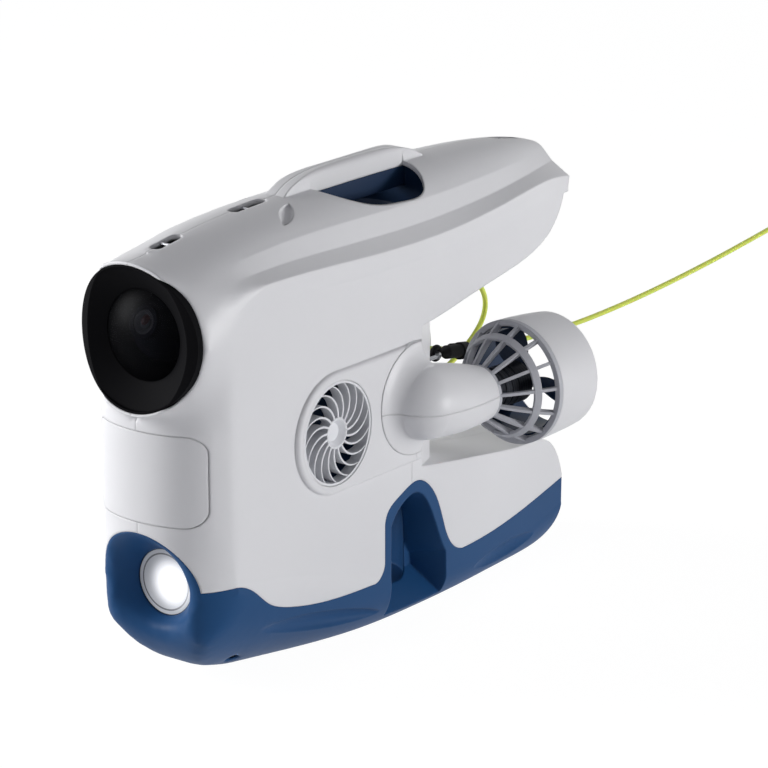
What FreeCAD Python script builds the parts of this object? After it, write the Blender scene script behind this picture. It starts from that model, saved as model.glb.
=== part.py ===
"""Underwater inspection vehicle: a floodable two-part hull with fins and a keel, four
thrusters, a tilting camera behind a dome, a lamp, a battery and a clipped-on tether.

Millimetres. The front faces -Y, port is +X and +Z is up. The origin lies under the
middle of the hull, on the surface that the keel stands on.
"""
import FreeCAD, Part
import math
import os

V = FreeCAD.Vector
X_AXIS = V(1, 0, 0)
Y_AXIS = V(0, 1, 0)
Z_AXIS = V(0, 0, 1)

# ---- overall ----
HULL_LENGTH = 485.0
OVERALL_WIDTH = 257.0
OVERALL_HEIGHT = 354.0
CROWN_Z = 342.0
HALF_WIDTH = 60.0
WALL = 3.5
NOSE_WALL = 8.0
FIT_GAP = 0.3
RUNNING_GAP = 0.05
FRONT_Y = -HULL_LENGTH / 2
TAIL_Y = HULL_LENGTH / 2
NOSE_Y = FRONT_Y + 5.0

# ---- hull sections, front to tail ----
# y, then crown z, crease x z, scoop x z, shelf x z, side top x z (z below CROWN_Z)
HULL_STATIONS = [
    (FRONT_Y - 6.0, -15.0, 41.0, -32.0, 50.0, -38.0, 57.0, -41.5, 58.5, -54.0),
    (-205.0, -9.8, 42.0, -26.8, 50.0, -35.4, 59.4, -40.4, 59.4, -54.5),
    (-150.0, -3.5, 43.0, -21.0, 50.0, -32.5, 61.0, -39.0, HALF_WIDTH, -55.0),
    (-40.0, 0.0, 44.0, -19.5, 50.0, -35.0, 62.0, -43.5, HALF_WIDTH, -59.0),
    (60.0, -0.5, 43.0, -21.0, 49.0, -36.0, 60.5, -44.5, 58.5, -60.0),
    (140.0, -3.5, 37.0, -21.0, 43.0, -34.0, 55.0, -40.0, 53.0, -57.0),
    (200.0, -10.0, 26.0, -23.0, 33.0, -32.5, 45.5, -38.5, 44.0, -54.0),
    (TAIL_Y + 4.0, -22.0, 11.0, -26.0, 19.0, -34.0, 38.0, -45.0, 37.0, -52.0),
]
# the bilge of each section: foot of the side x z, edge of the flat bottom x z
BILGES = [
    (58.0, 128.0, 4.0, 48.0),
    (59.4, 90.0, 5.0, 14.0),
    (HALF_WIDTH, 79.0, 7.0, 3.0),
    (HALF_WIDTH, 48.0, 34.0, 0.0),
    (56.0, 24.0, 36.0, 0.0),
    (48.0, 19.0, 33.0, 0.0),
    (40.0, 21.0, 30.0, 0.0),
    (34.0, 29.0, 18.0, 0.0),
]
LOFT_SINK = 2.0

# ---- camera ----
CAMERA_Z = 270.0
BARREL_RIM_R = 56.5
BARREL_ROOT_R = 61.0
BARREL_LENGTH = 46.0
HOOD_R = 54.0
HOOD_LIP = 1.5
RIM_WRAP_R = 146.0
HOOD_DEPTH = 15.5
DOME_SEAT_R = 33.5
DOME_RISE = 13.0
DOME_WALL = 3.0
DOME_FLANGE_R = 40.0
DOME_FLANGE_T = 4.0
TUBE_R = 45.0
TUBE_WALL = 3.5
TUBE_LENGTH = 150.0
CAP_T = 8.0
TUBE_CAP_BOLTS = 6
CAP_BOLT_R = 2.0
POD_R = 24.0
POD_SET_BACK = 24.0
POD_REST_TILT = 22.0
LENS_R = 9.0
LENS_REACH = 27.0
TILT_PIN_R = 2.0
EAR_X = 27.0
EAR_T = 3.0

# ---- battery and front cover ----
COVER_HALF_WIDTH = 49.5
COVER_LOW_Z = 133.5
COVER_HIGH_Z = 201.5
COVER_CORNER_R = 13.0
COVER_T = 3.0
COVER_LEDGE = 5.0
BATTERY_R = 30.0
BATTERY_LENGTH = 84.0
BATTERY_CAP_T = 4.0

# ---- lamp ----
LAMP_Z = 79.5
LAMP_ARCH_R = 45.5
LAMP_RIM_R = 43.5
LAMP_LENS_R = 24.5
LAMP_SET_BACK = 29.5
LAMP_LENS_T = 3.0
LAMP_BODY_R = 28.0
LAMP_BODY_LENGTH = 46.0
LAMP_SCREWS = 4
LAMP_FIN_SLOTS = 4
REFLECTOR_DEPTH = 12.0
REFLECTOR_FLOOR_R = 14.0
BOARD_T = 1.6
LAMP_POD_DEPTH = 24.0
LAMP_LENS_Y = NOSE_Y + LAMP_SET_BACK

# ---- lateral thruster ----
LATERAL_Y = -86.0
LATERAL_Z = 173.6
GRILLE_R = 39.3
GRILLE_RING_T = 1.8
GRILLE_HUB_R = 11.9
GRILLE_VANES = 17
GRILLE_VANE_T = 1.7
GRILLE_DEPTH = 9.0
GRILLE_SWEEP_DEG = 38.0
GRILLE_PROUD = 0.5
BOSS_R = 46.5
BOSS_HEIGHT = 3.6
BOSS_REAR_Y = 20.0
TUNNEL_R = 37.0
TUNNEL_WALL = 2.2

# ---- vertical thruster and handle ----
VERTICAL_Y = 17.0
VERTICAL_R = 36.0
VERTICAL_MOTOR_Z = 200.0
LINER_WALL = 2.2
LINER_TOP_Z = 306.0
LINER_NECK_Z = 274.0
LINER_FOOT_Z = 96.0
BOWL_FRONT_Y = -51.0
BOWL_REAR_Y = 67.0
INTAKE_REACH_X = 42.0
INTAKE_FRONT_Y = -48.0
INTAKE_REAR_Y = 64.0
HANDLE_HALF_WIDTH = 8.0
HANDLE_FRONT_Y = -82.0
HANDLE_REAR_Y = 92.0
HANDLE_GRIP_Z = 322.0

# ---- rear thrusters ----
THRUSTER_Z = 168.1
TOE_DEG = 5.25
DUCT_REAR_R = 45.6
DUCT_FRONT_R = 48.7
DUCT_LENGTH = 44.0
DUCT_REAR_Y = 157.2
DUCT_WALL = 2.6
DUCT_LINER_T = 1.4
CAGE_LENGTH = 42.0
CAGE_RING_R = 21.5
CAGE_RIBS = 14
CAGE_RIB_T = 2.4
CAGE_RIB_DEPTH = 4.5
CAGE_HOOP_R = 39.0
REAR_MOTOR_R = 16.0
REAR_MOTOR_LENGTH = 44.0

# ---- propellers ----
BLADES = 3
BLADE_TIP_GAP = 1.5
BLADE_T = 2.2
BLADE_PITCH_DEG = 24.0
HUB_R = 9.0
HUB_LENGTH = 16.0
SHAFT_R = 3.0
MOTOR_R = 15.0
MOTOR_LENGTH = 34.0
MOUNT_LENGTH = 12.0
SHAFT_DEPTH = 18.0

# ---- arms ----
ARM_ROOT_Y = 8.5
ARM_ROOT_Z = 177.5
ARM_ROOT_R = 43.5
ELBOW_X = 70.0
ELBOW_R = 29.0
FLARE_REAR_Y = 14.5
CABLE_HOLE_R = 4.0

# ---- keel ----
KEEL_SPLIT_Y = 9.0
ARCH_PEAK_Y = 17.0
ARCH_PEAK_Z = 109.5
ARCH_LIP = 6.0
ARCH_FLOOR_X = 29.0
ARCH_LOW_Z = 22.0
BALLAST_SPANS = ((-172.0, -52.0), (86.0, 206.0))
BALLAST_HALF_WIDTH = 30.0
BALLAST_FLOOR_Z = 14.0
BALLAST_TOP_Z = 30.0
SCALLOP_R = 9.5
SCALLOP_DIP_DEG = 10.4
SCALLOP_TURN_DEG = 7.0
ARCH_SILL_Z = 36.0
INSERT_SPAN_X = 46.0
INSERT_SPAN_Y = 120.0
INSERT_MID_Y = 140.0
INSERT_R = 2.5
INSERT_OUTER_R = 4.0
INSERT_DEPTH = 10.0
KEEL_SCREWS = ((24.0, -35.0), (24.0, 72.0))
KEEL_SCREW_SINK = 4.0
SCREW_HEAD_R = 4.0
SCREW_R = 2.0

# ---- slots in the crown: front y, rear y, width, depth ----
CROWN_SLOTS = (
    (-216.0, -186.0, 10.0, 9.0),
    (-130.0, -91.0, 10.0, 12.0),
    (188.0, 222.0, 9.0, 9.0),
)

PIN_R = 1.4
PIN_SINK = 2.4
PIN_HALF_LENGTH = 8.5
FOAM_FRONT_Y = 88.0

# ---- tow eye and tether gland ----
EYE_Z = 175.0
EYE_SEAT_Y = 81.5
EYE_PLATE_X = 8.0
EYE_PLATE_Z = 15.0
EYE_PLATE_T = 4.5
EYE_Y = 91.5
EYE_R = 3.5
EYE_RIM = 2.5
EYE_HALF_T = 2.5
HOOK_BAR_R = 1.9
HOOK_HALF_WIDTH = 6.0
HOOK_REAR_Y = 118.0
GATE_TIP_Y = 101.0
GATE_R = 1.6
GATE_TONGUE = 0.8
GATE_PIN_R = 0.8
GLAND_Y = 166.0
GLAND_Z = 248.0
GLAND_R = 6.0
GLAND_BODY = 16.0

# ---- tether ----
TETHER_R = 2.1
TETHER_SOCKET = 6.0
CORD_GAP = 0.3
TETHER_END_Y = 608.0
GRIP_R = 5.4
GRIP_EYE_R = 2.3
GRIP_END_Y = 199.0
GRIP_END_Z = 161.0
GRIP_CLAMP_Y = (148.0, 187.0)
PLUG_R = 8.0
CLAMP_WALL = 1.5


def mirror_x(shape):
    """The same piece on the other side of the centre plane."""
    return shape.mirror(V(0, 0, 0), X_AXIS)


def mirrored(point):
    return V(-point.x, point.y, point.z)


def spline(points):
    """One smooth curve through a few points."""
    curve = Part.BSplineCurve()
    curve.interpolate(points)
    return curve.toShape()


def cylinder(radius, start, end):
    """A round bar between two points."""
    along = end - start
    return Part.makeCylinder(radius, along.Length, start, along)


def ring(outer, inner, start, end):
    return cylinder(outer, start, end).cut(cylinder(inner, start, end))


def cone(start_r, end_r, start, end):
    along = end - start
    return Part.makeCone(start_r, end_r, along.Length, start, along)


def box(low, high):
    """A block between its lowest and highest corners."""
    size = high - low
    return Part.makeBox(size.x, size.y, size.z, low)


def prism(edges, travel):
    """A face bounded by the given edges, pushed along a vector."""
    return Part.Face(Part.Wire(edges)).extrude(travel)


def section_edges(row, bilge_row, inset):
    """One closed cross-section of the hull, moved inwards by a wall when asked."""
    y, crown, cx, cz, ix, iz, sx, sz, px, pz = row
    fx, fz, bx, bz = bilge_row
    top = V(0, y, CROWN_Z + crown - inset)
    crease = V(cx - 0.6 * inset, y, CROWN_Z + cz - inset)
    scoop = V(ix - inset, y, CROWN_Z + iz - 0.7 * inset)
    shelf = V(sx - 1.2 * inset, y, CROWN_Z + sz - 0.5 * inset)
    side = V(px - inset, y, CROWN_Z + pz - 0.5 * inset)
    foot = V(fx - inset, y, fz)
    round_out = math.sqrt(0.5)
    bilge = V(bx + round_out * (fx - bx) - 0.8 * inset, y,
              fz - round_out * (fz - bz) + 0.6 * inset)
    bottom = V(bx - 0.5 * inset, y, bz + inset - LOFT_SINK)
    corners = [crease, scoop, shelf, side, foot]
    edges = [Part.Arc(mirrored(crease), top, crease).toShape()]
    for here, there in zip(corners, corners[1:]):
        edges.append(Part.makeLine(here, there))
    edges.append(Part.Arc(foot, bilge, bottom).toShape())
    edges.append(Part.makeLine(bottom, mirrored(bottom)))
    edges.append(Part.Arc(mirrored(bottom), mirrored(bilge), mirrored(foot)).toShape())
    back = [mirrored(p) for p in reversed(corners)]
    for here, there in zip(back, back[1:]):
        edges.append(Part.makeLine(here, there))
    return edges


def side_outline(inset):
    """Side view of the whole hull before the gap between its fins is cut."""
    front = NOSE_Y + inset
    rear = TAIL_Y - inset
    high = CROWN_Z + 20.0
    brow = V(0, NOSE_Y + 15.0 + inset, 236.0)
    nose_top = V(0, front, 208.0)
    nose_low = V(0, front, 122.0)
    belly = V(0, -140.0, inset)
    tail_low = V(0, 206.0, inset)
    behind = rear + LOFT_SINK
    tail_high = V(0, behind, 46.0)
    return [
        spline([nose_low, V(0, front + 4.5, 84.0), V(0, front + 14.0, 50.0),
                V(0, front + 33.0, 21.0 + 0.7 * inset), V(0, -171.0, 6.5 + inset), belly]),
        Part.makeLine(belly, tail_low),
        spline([tail_low, V(0, 224.0 - 0.3 * inset, 5.0 + inset), V(0, rear - 5.0, 18.0), tail_high]),
        Part.makeLine(tail_high, V(0, behind, high)),
        Part.makeLine(V(0, behind, high), V(0, brow.y, high)),
        Part.makeLine(V(0, brow.y, high), brow),
        Part.makeLine(brow, nose_top),
        Part.makeLine(nose_top, nose_low),
    ]


def nose_curve(inset):
    """Plan view of the nose, from the port cheek round to the starboard cheek."""
    cheek = V(HALF_WIDTH + 6.0 - inset, -168.0, 0)
    half = [cheek, V(57.5 - inset, NOSE_Y + 33.5 + 0.5 * inset, 0),
            V(50.0 - 0.7 * inset, NOSE_Y + 20.5 + 0.7 * inset, 0),
            V(36.0 - 0.4 * inset, NOSE_Y + 8.5 + 0.9 * inset, 0)]
    tip = V(0, NOSE_Y + inset, 0)
    return half + [tip] + [mirrored(p) for p in reversed(half)]


def plan_prism(inset):
    """Everything behind the nose curve and ahead of the rounded tail."""
    curve = nose_curve(inset)
    far = HALF_WIDTH + 40.0
    tail_side = V(far, TAIL_Y - 10.0 - inset, 0)
    outline = [
        spline(curve),
        Part.makeLine(curve[-1], V(-far, curve[-1].y, 0)),
        Part.makeLine(V(-far, curve[-1].y, 0), mirrored(tail_side)),
        Part.Arc(mirrored(tail_side), V(0, TAIL_Y - inset, 0), tail_side).toShape(),
        Part.makeLine(tail_side, V(far, curve[0].y, 0)),
        Part.makeLine(V(far, curve[0].y, 0), curve[0]),
    ]
    return prism(outline, V(0, 0, CROWN_Z + 40.0))


def fin_gap(outset):
    """The open space between the two fins, behind the rounded spine of the hull."""
    under = [V(0, -20.0, 229.0 + outset), V(0, 36.0, 231.5 + outset), V(0, 82.0, 238.5 + outset),
             V(0, 137.0, 245.0 + outset), V(0, 184.0, 251.0 + outset),
             V(0, 216.0 + 0.5 * outset, 263.0 + outset), V(0, 234.0 + outset, 286.0 + outset)]
    over = [V(0, 243.0 + outset, 42.0), V(0, 236.0 + outset, 64.0 - 0.5 * outset),
            V(0, 222.0, 82.0 - outset), V(0, 170.0, 95.0 - outset), V(0, 120.0, 103.0 - outset),
            V(0, 60.0, 113.0 - outset), V(0, -20.0, 126.0 - outset)]
    beyond = TAIL_Y + 30.0
    outline = [
        spline(under),
        Part.makeLine(under[-1], V(0, beyond, under[-1].z)),
        Part.makeLine(V(0, beyond, under[-1].z), V(0, beyond, over[0].z)),
        Part.makeLine(V(0, beyond, over[0].z), over[0]),
        spline(over),
        Part.makeLine(over[-1], under[0]),
    ]
    reach = HALF_WIDTH + 20.0
    slot = prism([e.translated(V(-reach, 0, 0)) for e in outline], V(2 * reach, 0, 0))
    spine = [V(HALF_WIDTH + 12.0, 6.0 - outset, 0), V(55.0, 28.0 - outset, 0), V(36.0, 62.0 - outset, 0),
             V(0, 84.0 - outset, 0)]
    curve = spine + [mirrored(p) for p in reversed(spine[:-1])]
    behind = prism([
        spline(curve),
        Part.makeLine(curve[-1], V(-reach, beyond, 0)),
        Part.makeLine(V(-reach, beyond, 0), V(reach, beyond, 0)),
        Part.makeLine(V(reach, beyond, 0), curve[0]),
    ], V(0, 0, CROWN_Z))
    return slot.common(behind)


def camera_barrel(inset):
    """The short round snout that carries the camera hood."""
    root_y = FRONT_Y + BARREL_LENGTH
    barrel = cone(BARREL_RIM_R - inset, BARREL_ROOT_R - inset,
                  V(0, FRONT_Y, CAMERA_Z), V(0, root_y, CAMERA_Z))
    return barrel.common(rim_wrap(inset))


def rim_wrap(inset):
    """The upright round bar whose front is the wrapped face of the camera rim."""
    centre_y = FRONT_Y + inset + RIM_WRAP_R
    return cylinder(RIM_WRAP_R, V(0, centre_y, CAMERA_Z - 80.0), V(0, centre_y, CAMERA_Z + 80.0))


def hull_form(inset):
    """The hull's outer form, or the hollow inside it when given a wall."""
    rows = zip(HULL_STATIONS, BILGES)
    body = Part.makeLoft([Part.Wire(section_edges(top, low, inset)) for top, low in rows], True, False)
    reach = HALF_WIDTH + 20.0
    side = prism([e.translated(V(-reach, 0, 0)) for e in side_outline(inset)], V(2 * reach, 0, 0))
    nose_inset = inset * NOSE_WALL / WALL
    body = body.common(side).common(plan_prism(nose_inset))
    return body.cut(fin_gap(inset))


def keel_zone():
    """The part of the hull that belongs to the keel: under a flowing line, with one
    arch in each side and a round pod for the lamp in the nose."""
    ahead = FRONT_Y - 20.0
    behind = TAIL_Y + 20.0
    shoulder = V(0, -199.0, 85.5)
    waist = V(0, -38.0, 42.3)
    pillar_low = V(0, -25.0, 56.0)
    pillar_high = V(0, -25.0, 85.0)
    start = V(0, ahead, 83.0)
    runner = V(0, 80.0, 37.0)
    end = V(0, behind, 51.0)
    outline = [
        Part.makeLine(V(0, ahead, -10.0), start),
        Part.makeLine(start, shoulder),
        spline([shoulder, V(0, -180.0, 77.0), V(0, -163.0, 63.0), V(0, -138.0, 53.0),
                V(0, -90.0, 45.0), waist]),
        Part.Arc(waist, V(0, -28.8, 46.5), pillar_low).toShape(),
        Part.makeLine(pillar_low, pillar_high),
        spline([pillar_high, V(0, -20.0, 96.0), V(0, -6.0, 103.5), V(0, ARCH_PEAK_Y, ARCH_PEAK_Z),
                V(0, 36.0, 98.0), V(0, 50.0, 73.0), V(0, 62.0, 48.0), runner]),
        spline([runner, V(0, 120.0, 37.0), V(0, 190.0, 42.0), end]),
        Part.makeLine(end, V(0, behind, -10.0)),
        Part.makeLine(V(0, behind, -10.0), V(0, ahead, -10.0)),
    ]
    reach = HALF_WIDTH + 20.0
    under = prism([e.translated(V(-reach, 0, 0)) for e in outline], V(2 * reach, 0, 0))
    pod = cylinder(LAMP_ARCH_R, V(0, ahead, LAMP_Z), V(0, LAMP_LENS_Y + LAMP_POD_DEPTH, LAMP_Z))
    return under.fuse(pod)


def arch_scoops():
    """The tapering recess in each side of the keel where the vertical jet leaves."""
    peak = ARCH_PEAK_Z - ARCH_LIP
    outer = arch_outline(HALF_WIDTH + 6.0, -25.0 + ARCH_LIP, 68.0 - ARCH_LIP, peak, 0.0)
    inner = arch_outline(ARCH_FLOOR_X, -25.0 + 3 * ARCH_LIP, 68.0 - 3.5 * ARCH_LIP, peak - 14.0, ARCH_SILL_Z)
    port = Part.makeLoft([inner, outer], True, True)
    return port.fuse(mirror_x(port))


def arch_outline(x, front_y, rear_y, peak_z, low_z):
    """A pointed arch with a near-upright front side and a slanting rear side."""
    foot_z = low_z - 8.0
    front_low = V(x, front_y, foot_z)
    front_high = V(x, front_y, peak_z - 20.0)
    peak = V(x, ARCH_PEAK_Y - 3.0, peak_z)
    rear_low = V(x, rear_y, foot_z)
    half = 0.5 * (ARCH_PEAK_Y + rear_y)
    return Part.Wire([
        Part.makeLine(front_low, front_high),
        spline([front_high, V(x, 0.55 * front_y + 0.45 * peak.y, peak_z - 5.0), peak,
                V(x, half + 1.0, peak_z - 26.0), V(x, rear_y - 2.0, 0.36 * peak_z + 6.0)]),
        Part.makeLine(V(x, rear_y - 2.0, 0.36 * peak_z + 6.0), rear_low),
        Part.makeLine(rear_low, front_low),
    ])


def spindle(centre, half_length, radius):
    """A slender double-pointed form along Y, one arc turned about its own chord."""
    front = centre - V(0, half_length, 0)
    rear = centre + V(0, half_length, 0)
    top = centre + V(0, 0, radius)
    profile = Part.Face(Part.Wire([Part.Arc(front, top, rear).toShape(), Part.makeLine(rear, front)]))
    return profile.revolve(centre, Y_AXIS, 360)


def keel_scallops():
    """Long finger-shaped hollows above the runner on each side of the keel."""
    middle = V(HALF_WIDTH - 3.0, -99.0, 28.0)
    front = spindle(middle, 88.0, SCALLOP_R)
    front.rotate(middle, X_AXIS, -SCALLOP_DIP_DEG)
    aft = V(HALF_WIDTH - 9.0, 146.0, 14.0)
    rear = spindle(aft, 72.0, SCALLOP_R - 1.0)
    rear.rotate(aft, Z_AXIS, SCALLOP_TURN_DEG)
    port = front.fuse(rear)
    return port.fuse(mirror_x(port))


def stadium(x, reach, radius):
    """The raised pad round the side grille, running back to the arm."""
    mid = V(x, LATERAL_Y, LATERAL_Z)
    top = mid + V(0, 0, radius)
    low = mid - V(0, 0, radius)
    rear = V(0, BOSS_REAR_Y - LATERAL_Y, 0)
    edges = [
        Part.Arc(top, mid - V(0, radius, 0), low).toShape(),
        Part.makeLine(low, low + rear),
        Part.makeLine(low + rear, top + rear),
        Part.makeLine(top + rear, top),
    ]
    return prism(edges, V(reach, 0, 0))


def grille_boss():
    """The pad with its outer edge rounded off."""
    face_x = HALF_WIDTH + BOSS_HEIGHT
    pad = stadium(HALF_WIDTH - 12.0, BOSS_HEIGHT + 12.0, BOSS_R)
    rim = [e for e in pad.Edges
           if abs(e.CenterOfMass.x - face_x) < 0.01 and e.CenterOfMass.y < BOSS_REAR_Y - 1.0]
    return pad.makeFillet(BOSS_HEIGHT - 0.6, rim)


def handle_ridge():
    """The carrying ridge that stands along the crown between the two hand recesses."""
    low = CROWN_Z - WALL - 0.5
    top = [V(0, HANDLE_FRONT_Y, CROWN_Z - 3.0), V(0, HANDLE_FRONT_Y + 14.0, CROWN_Z + 5.5),
           V(0, HANDLE_FRONT_Y + 38.0, OVERALL_HEIGHT - 1.2), V(0, 0, OVERALL_HEIGHT),
           V(0, HANDLE_REAR_Y - 46.0, OVERALL_HEIGHT - 0.8), V(0, HANDLE_REAR_Y - 22.0, CROWN_Z + 7.5),
           V(0, HANDLE_REAR_Y, CROWN_Z - 3.5)]
    side = [
        spline(top),
        Part.makeLine(top[-1], V(0, HANDLE_REAR_Y, low)),
        Part.makeLine(V(0, HANDLE_REAR_Y, low), V(0, HANDLE_FRONT_Y, low)),
        Part.makeLine(V(0, HANDLE_FRONT_Y, low), top[0]),
    ]
    reach = HANDLE_HALF_WIDTH + 30.0
    bar = prism([e.translated(V(-reach, 0, 0)) for e in side], V(2 * reach, 0, 0))
    half = HANDLE_HALF_WIDTH
    flank = [V(half + 1.0, HANDLE_FRONT_Y, low), V(half, HANDLE_FRONT_Y, OVERALL_HEIGHT - 7.0),
             V(half - 5.0, HANDLE_FRONT_Y, OVERALL_HEIGHT)]
    head = V(0, HANDLE_FRONT_Y, OVERALL_HEIGHT + 0.4)
    knee = V(half - 1.0, HANDLE_FRONT_Y, OVERALL_HEIGHT - 2.5)
    front = [
        Part.makeLine(flank[0], flank[1]),
        Part.Arc(flank[1], knee, flank[2]).toShape(),
        Part.Arc(flank[2], head, mirrored(flank[2])).toShape(),
        Part.Arc(mirrored(flank[2]), mirrored(knee), mirrored(flank[1])).toShape(),
        Part.makeLine(mirrored(flank[1]), mirrored(flank[0])),
        Part.makeLine(mirrored(flank[0]), flank[0]),
    ]
    return bar.common(prism(front, V(0, HANDLE_REAR_Y - HANDLE_FRONT_Y, 0)))


def intake_outline(z, inset):
    """One hand recess in plan: straight beside the handle, bulging outwards and aft."""
    x = HANDLE_HALF_WIDTH + inset
    front = V(x, INTAKE_FRONT_Y + 2.0 * inset, z)
    rear = V(x, INTAKE_REAR_Y - inset, z)
    return [
        spline([front, V(24.0 - 0.8 * inset, INTAKE_FRONT_Y + 9.0 + inset, z),
                V(INTAKE_REACH_X - 6.0 - inset, INTAKE_FRONT_Y + 27.0 + 0.5 * inset, z),
                V(INTAKE_REACH_X - inset, VERTICAL_Y + 6.0, z),
                V(INTAKE_REACH_X - 4.0 - 0.7 * inset, INTAKE_REAR_Y - 13.0 - 0.7 * inset, z),
                V(20.0, INTAKE_REAR_Y - 0.5 - inset, z), rear]),
        Part.makeLine(rear, front),
    ]


def hand_recesses(inset, low_z):
    """Both hand recesses as upright plugs."""
    port = prism(intake_outline(low_z, inset), V(0, 0, CROWN_Z + 30.0 - low_z))
    return port.fuse(mirror_x(port))


def cover_outline(y, grow):
    """The rounded rectangle of the front cover, seen from ahead."""
    x = COVER_HALF_WIDTH + grow
    low = COVER_LOW_Z - grow
    high = COVER_HIGH_Z + grow
    r = COVER_CORNER_R + grow
    q = r * (1.0 - math.sqrt(0.5))
    return [
        Part.makeLine(V(r - x, y, low), V(x - r, y, low)),
        Part.Arc(V(x - r, y, low), V(x - q, y, low + q), V(x, y, low + r)).toShape(),
        Part.makeLine(V(x, y, low + r), V(x, y, high - r)),
        Part.Arc(V(x, y, high - r), V(x - q, y, high - q), V(x - r, y, high)).toShape(),
        Part.makeLine(V(x - r, y, high), V(r - x, y, high)),
        Part.Arc(V(r - x, y, high), V(q - x, y, high - q), V(-x, y, high - r)).toShape(),
        Part.makeLine(V(-x, y, high - r), V(-x, y, low + r)),
        Part.Arc(V(-x, y, low + r), V(q - x, y, low + q), V(r - x, y, low)).toShape(),
    ]


def cover_blank(grow, depth):
    """The cover's footprint through the outer skin of the nose, to a depth."""
    start = FRONT_Y - 10.0
    block = prism(cover_outline(start, grow), V(0, 60.0, 0))
    behind = plan_prism(depth).common(box(V(-90, FRONT_Y - 20.0, 100), V(90, 0, 240)))
    return block.cut(behind)


def crown_slot(front_y, rear_y, width, depth):
    """A round-ended slot cut down into the crown along the seam."""
    r = 0.5 * width
    high = CROWN_Z + 20.0
    low = slot_floor(front_y, rear_y, depth)
    bar = box(V(-r, front_y + r, low), V(r, rear_y - r, high))
    for y in (front_y + r, rear_y - r):
        bar = bar.fuse(cylinder(r, V(0, y, low), V(0, y, high)))
    return bar


def slot_floor(front_y, rear_y, depth):
    """Height of a slot's floor below the local crown."""
    mid = 0.5 * (front_y + rear_y)
    rows = HULL_STATIONS
    for here, there in zip(rows, rows[1:]):
        if here[0] <= mid <= there[0]:
            share = (mid - here[0]) / (there[0] - here[0])
            return CROWN_Z + here[1] + share * (there[1] - here[1]) - depth
    return CROWN_Z - depth


def side_slots():
    """A slanting lens-shaped vent through each shoulder."""
    mid = V(25.0, -97.0, CROWN_Z - 25.0)
    half = V(8.0, -13.5, 0)
    out = V(4.2, 2.5, 0)
    edges = [
        Part.Arc(mid - half, mid + out, mid + half).toShape(),
        Part.Arc(mid + half, mid - out, mid - half).toShape(),
    ]
    port = prism(edges, V(0, 0, 40.0))
    return port.fuse(mirror_x(port))


def hull_pieces():
    """Port and starboard shells, the lower fin shells, the keel and the front cover."""
    form = hull_form(0).fuse(camera_barrel(0))
    boss = grille_boss()
    form = form.fuse(boss.fuse(mirror_x(boss))).cut(fin_gap(0))
    hollow = hull_form(WALL)
    form = form.fuse(handle_ridge())
    zone = keel_zone()
    keel = form.common(zone)
    white = form.cut(zone)

    hood_back = V(0, FRONT_Y + HOOD_DEPTH + DOME_FLANGE_T + FIT_GAP, CAMERA_Z)
    ahead = V(0, FRONT_Y - 5.0, 0)
    camera_axis = V(0, 0, CAMERA_Z)
    white = white.cut(hollow)
    white = white.cut(cylinder(HOOD_R + FIT_GAP, ahead + camera_axis, hood_back))
    white = white.cut(cylinder(TUBE_R + FIT_GAP, ahead + camera_axis, V(0, FRONT_Y + 70.0, CAMERA_Z)))
    white = white.cut(cover_blank(FIT_GAP, COVER_T + FIT_GAP))
    white = white.cut(prism(cover_outline(FRONT_Y, -COVER_LEDGE), V(0, 40.0, 0)))
    side = V(HALF_WIDTH + 30.0, LATERAL_Y, LATERAL_Z)
    white = white.cut(cylinder(GRILLE_R + FIT_GAP, mirrored(side), side))
    white = white.cut(hand_recesses(0, LINER_TOP_Z))
    for front_y, rear_y, width, depth in CROWN_SLOTS:
        white = white.cut(crown_slot(front_y, rear_y, width, depth))
    white = white.cut(side_slots())
    for shape in [tow_eye_seat(), gland_hole(), arm_cable_holes()] + lift_pins():
        white = white.cut(shape)

    fin_zone = box(V(-90, KEEL_SPLIT_Y, 0), V(90, TAIL_Y + 20.0, THRUSTER_Z - 20.0))
    fins = white.common(fin_zone)
    main = white.cut(fin_zone)
    port_side = box(V(0, FRONT_Y - 20.0, -20.0), V(120, TAIL_Y + 20.0, OVERALL_HEIGHT + 20.0))

    keel = keel.cut(arch_scoops()).cut(keel_scallops())
    keel = keel.cut(cylinder(VERTICAL_R, V(0, VERTICAL_Y, ARCH_LOW_Z), V(0, VERTICAL_Y, LINER_FOOT_Z + 40.0)))
    keel = keel.cut(liner_seat())
    for pocket in keel_pockets(0):
        keel = keel.cut(pocket)
    keel = keel.cut(lamp_bore())
    for centre in insert_centres():
        keel = keel.cut(cylinder(INSERT_OUTER_R, centre - Z_AXIS, centre + V(0, 0, INSERT_DEPTH)))
    for x, y in KEEL_SCREWS:
        for sx in (-1, 1):
            well = V(sx * x, y, 0)
            keel = keel.cut(cylinder(SCREW_HEAD_R, well - Z_AXIS, well + V(0, 0, KEEL_SCREW_SINK + 4.0)))
            keel = keel.cut(cylinder(SCREW_R, well, well + V(0, 0, KEEL_SCREW_SINK + 20.0)))

    cover = form.common(cover_blank(0, COVER_T))
    return {
        "port_shell": main.common(port_side),
        "starboard_shell": main.cut(port_side),
        "port_fin_shell": fins.common(port_side),
        "starboard_fin_shell": fins.cut(port_side),
        "keel_shell": keel,
        "front_cover": cover,
    }


def lamp_bore():
    """The funnel in front of the lamp and the round bore that holds it."""
    rim = V(0, NOSE_Y + 1.0, LAMP_Z)
    seat = V(0, LAMP_LENS_Y, LAMP_Z)
    funnel = cone(LAMP_RIM_R, LAMP_LENS_R + 0.5, rim, seat)
    mouth = cylinder(LAMP_RIM_R, rim - V(0, 20.0, 0), rim)
    bore = cylinder(LAMP_BODY_R + FIT_GAP, seat, seat + V(0, LAMP_BODY_LENGTH + 20.0, 0))
    neck = cylinder(LAMP_LENS_R + 0.5, seat - V(0, 0.5, 0), seat + V(0, 0.5, 0))
    return funnel.fuse([mouth, bore, neck])


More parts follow.
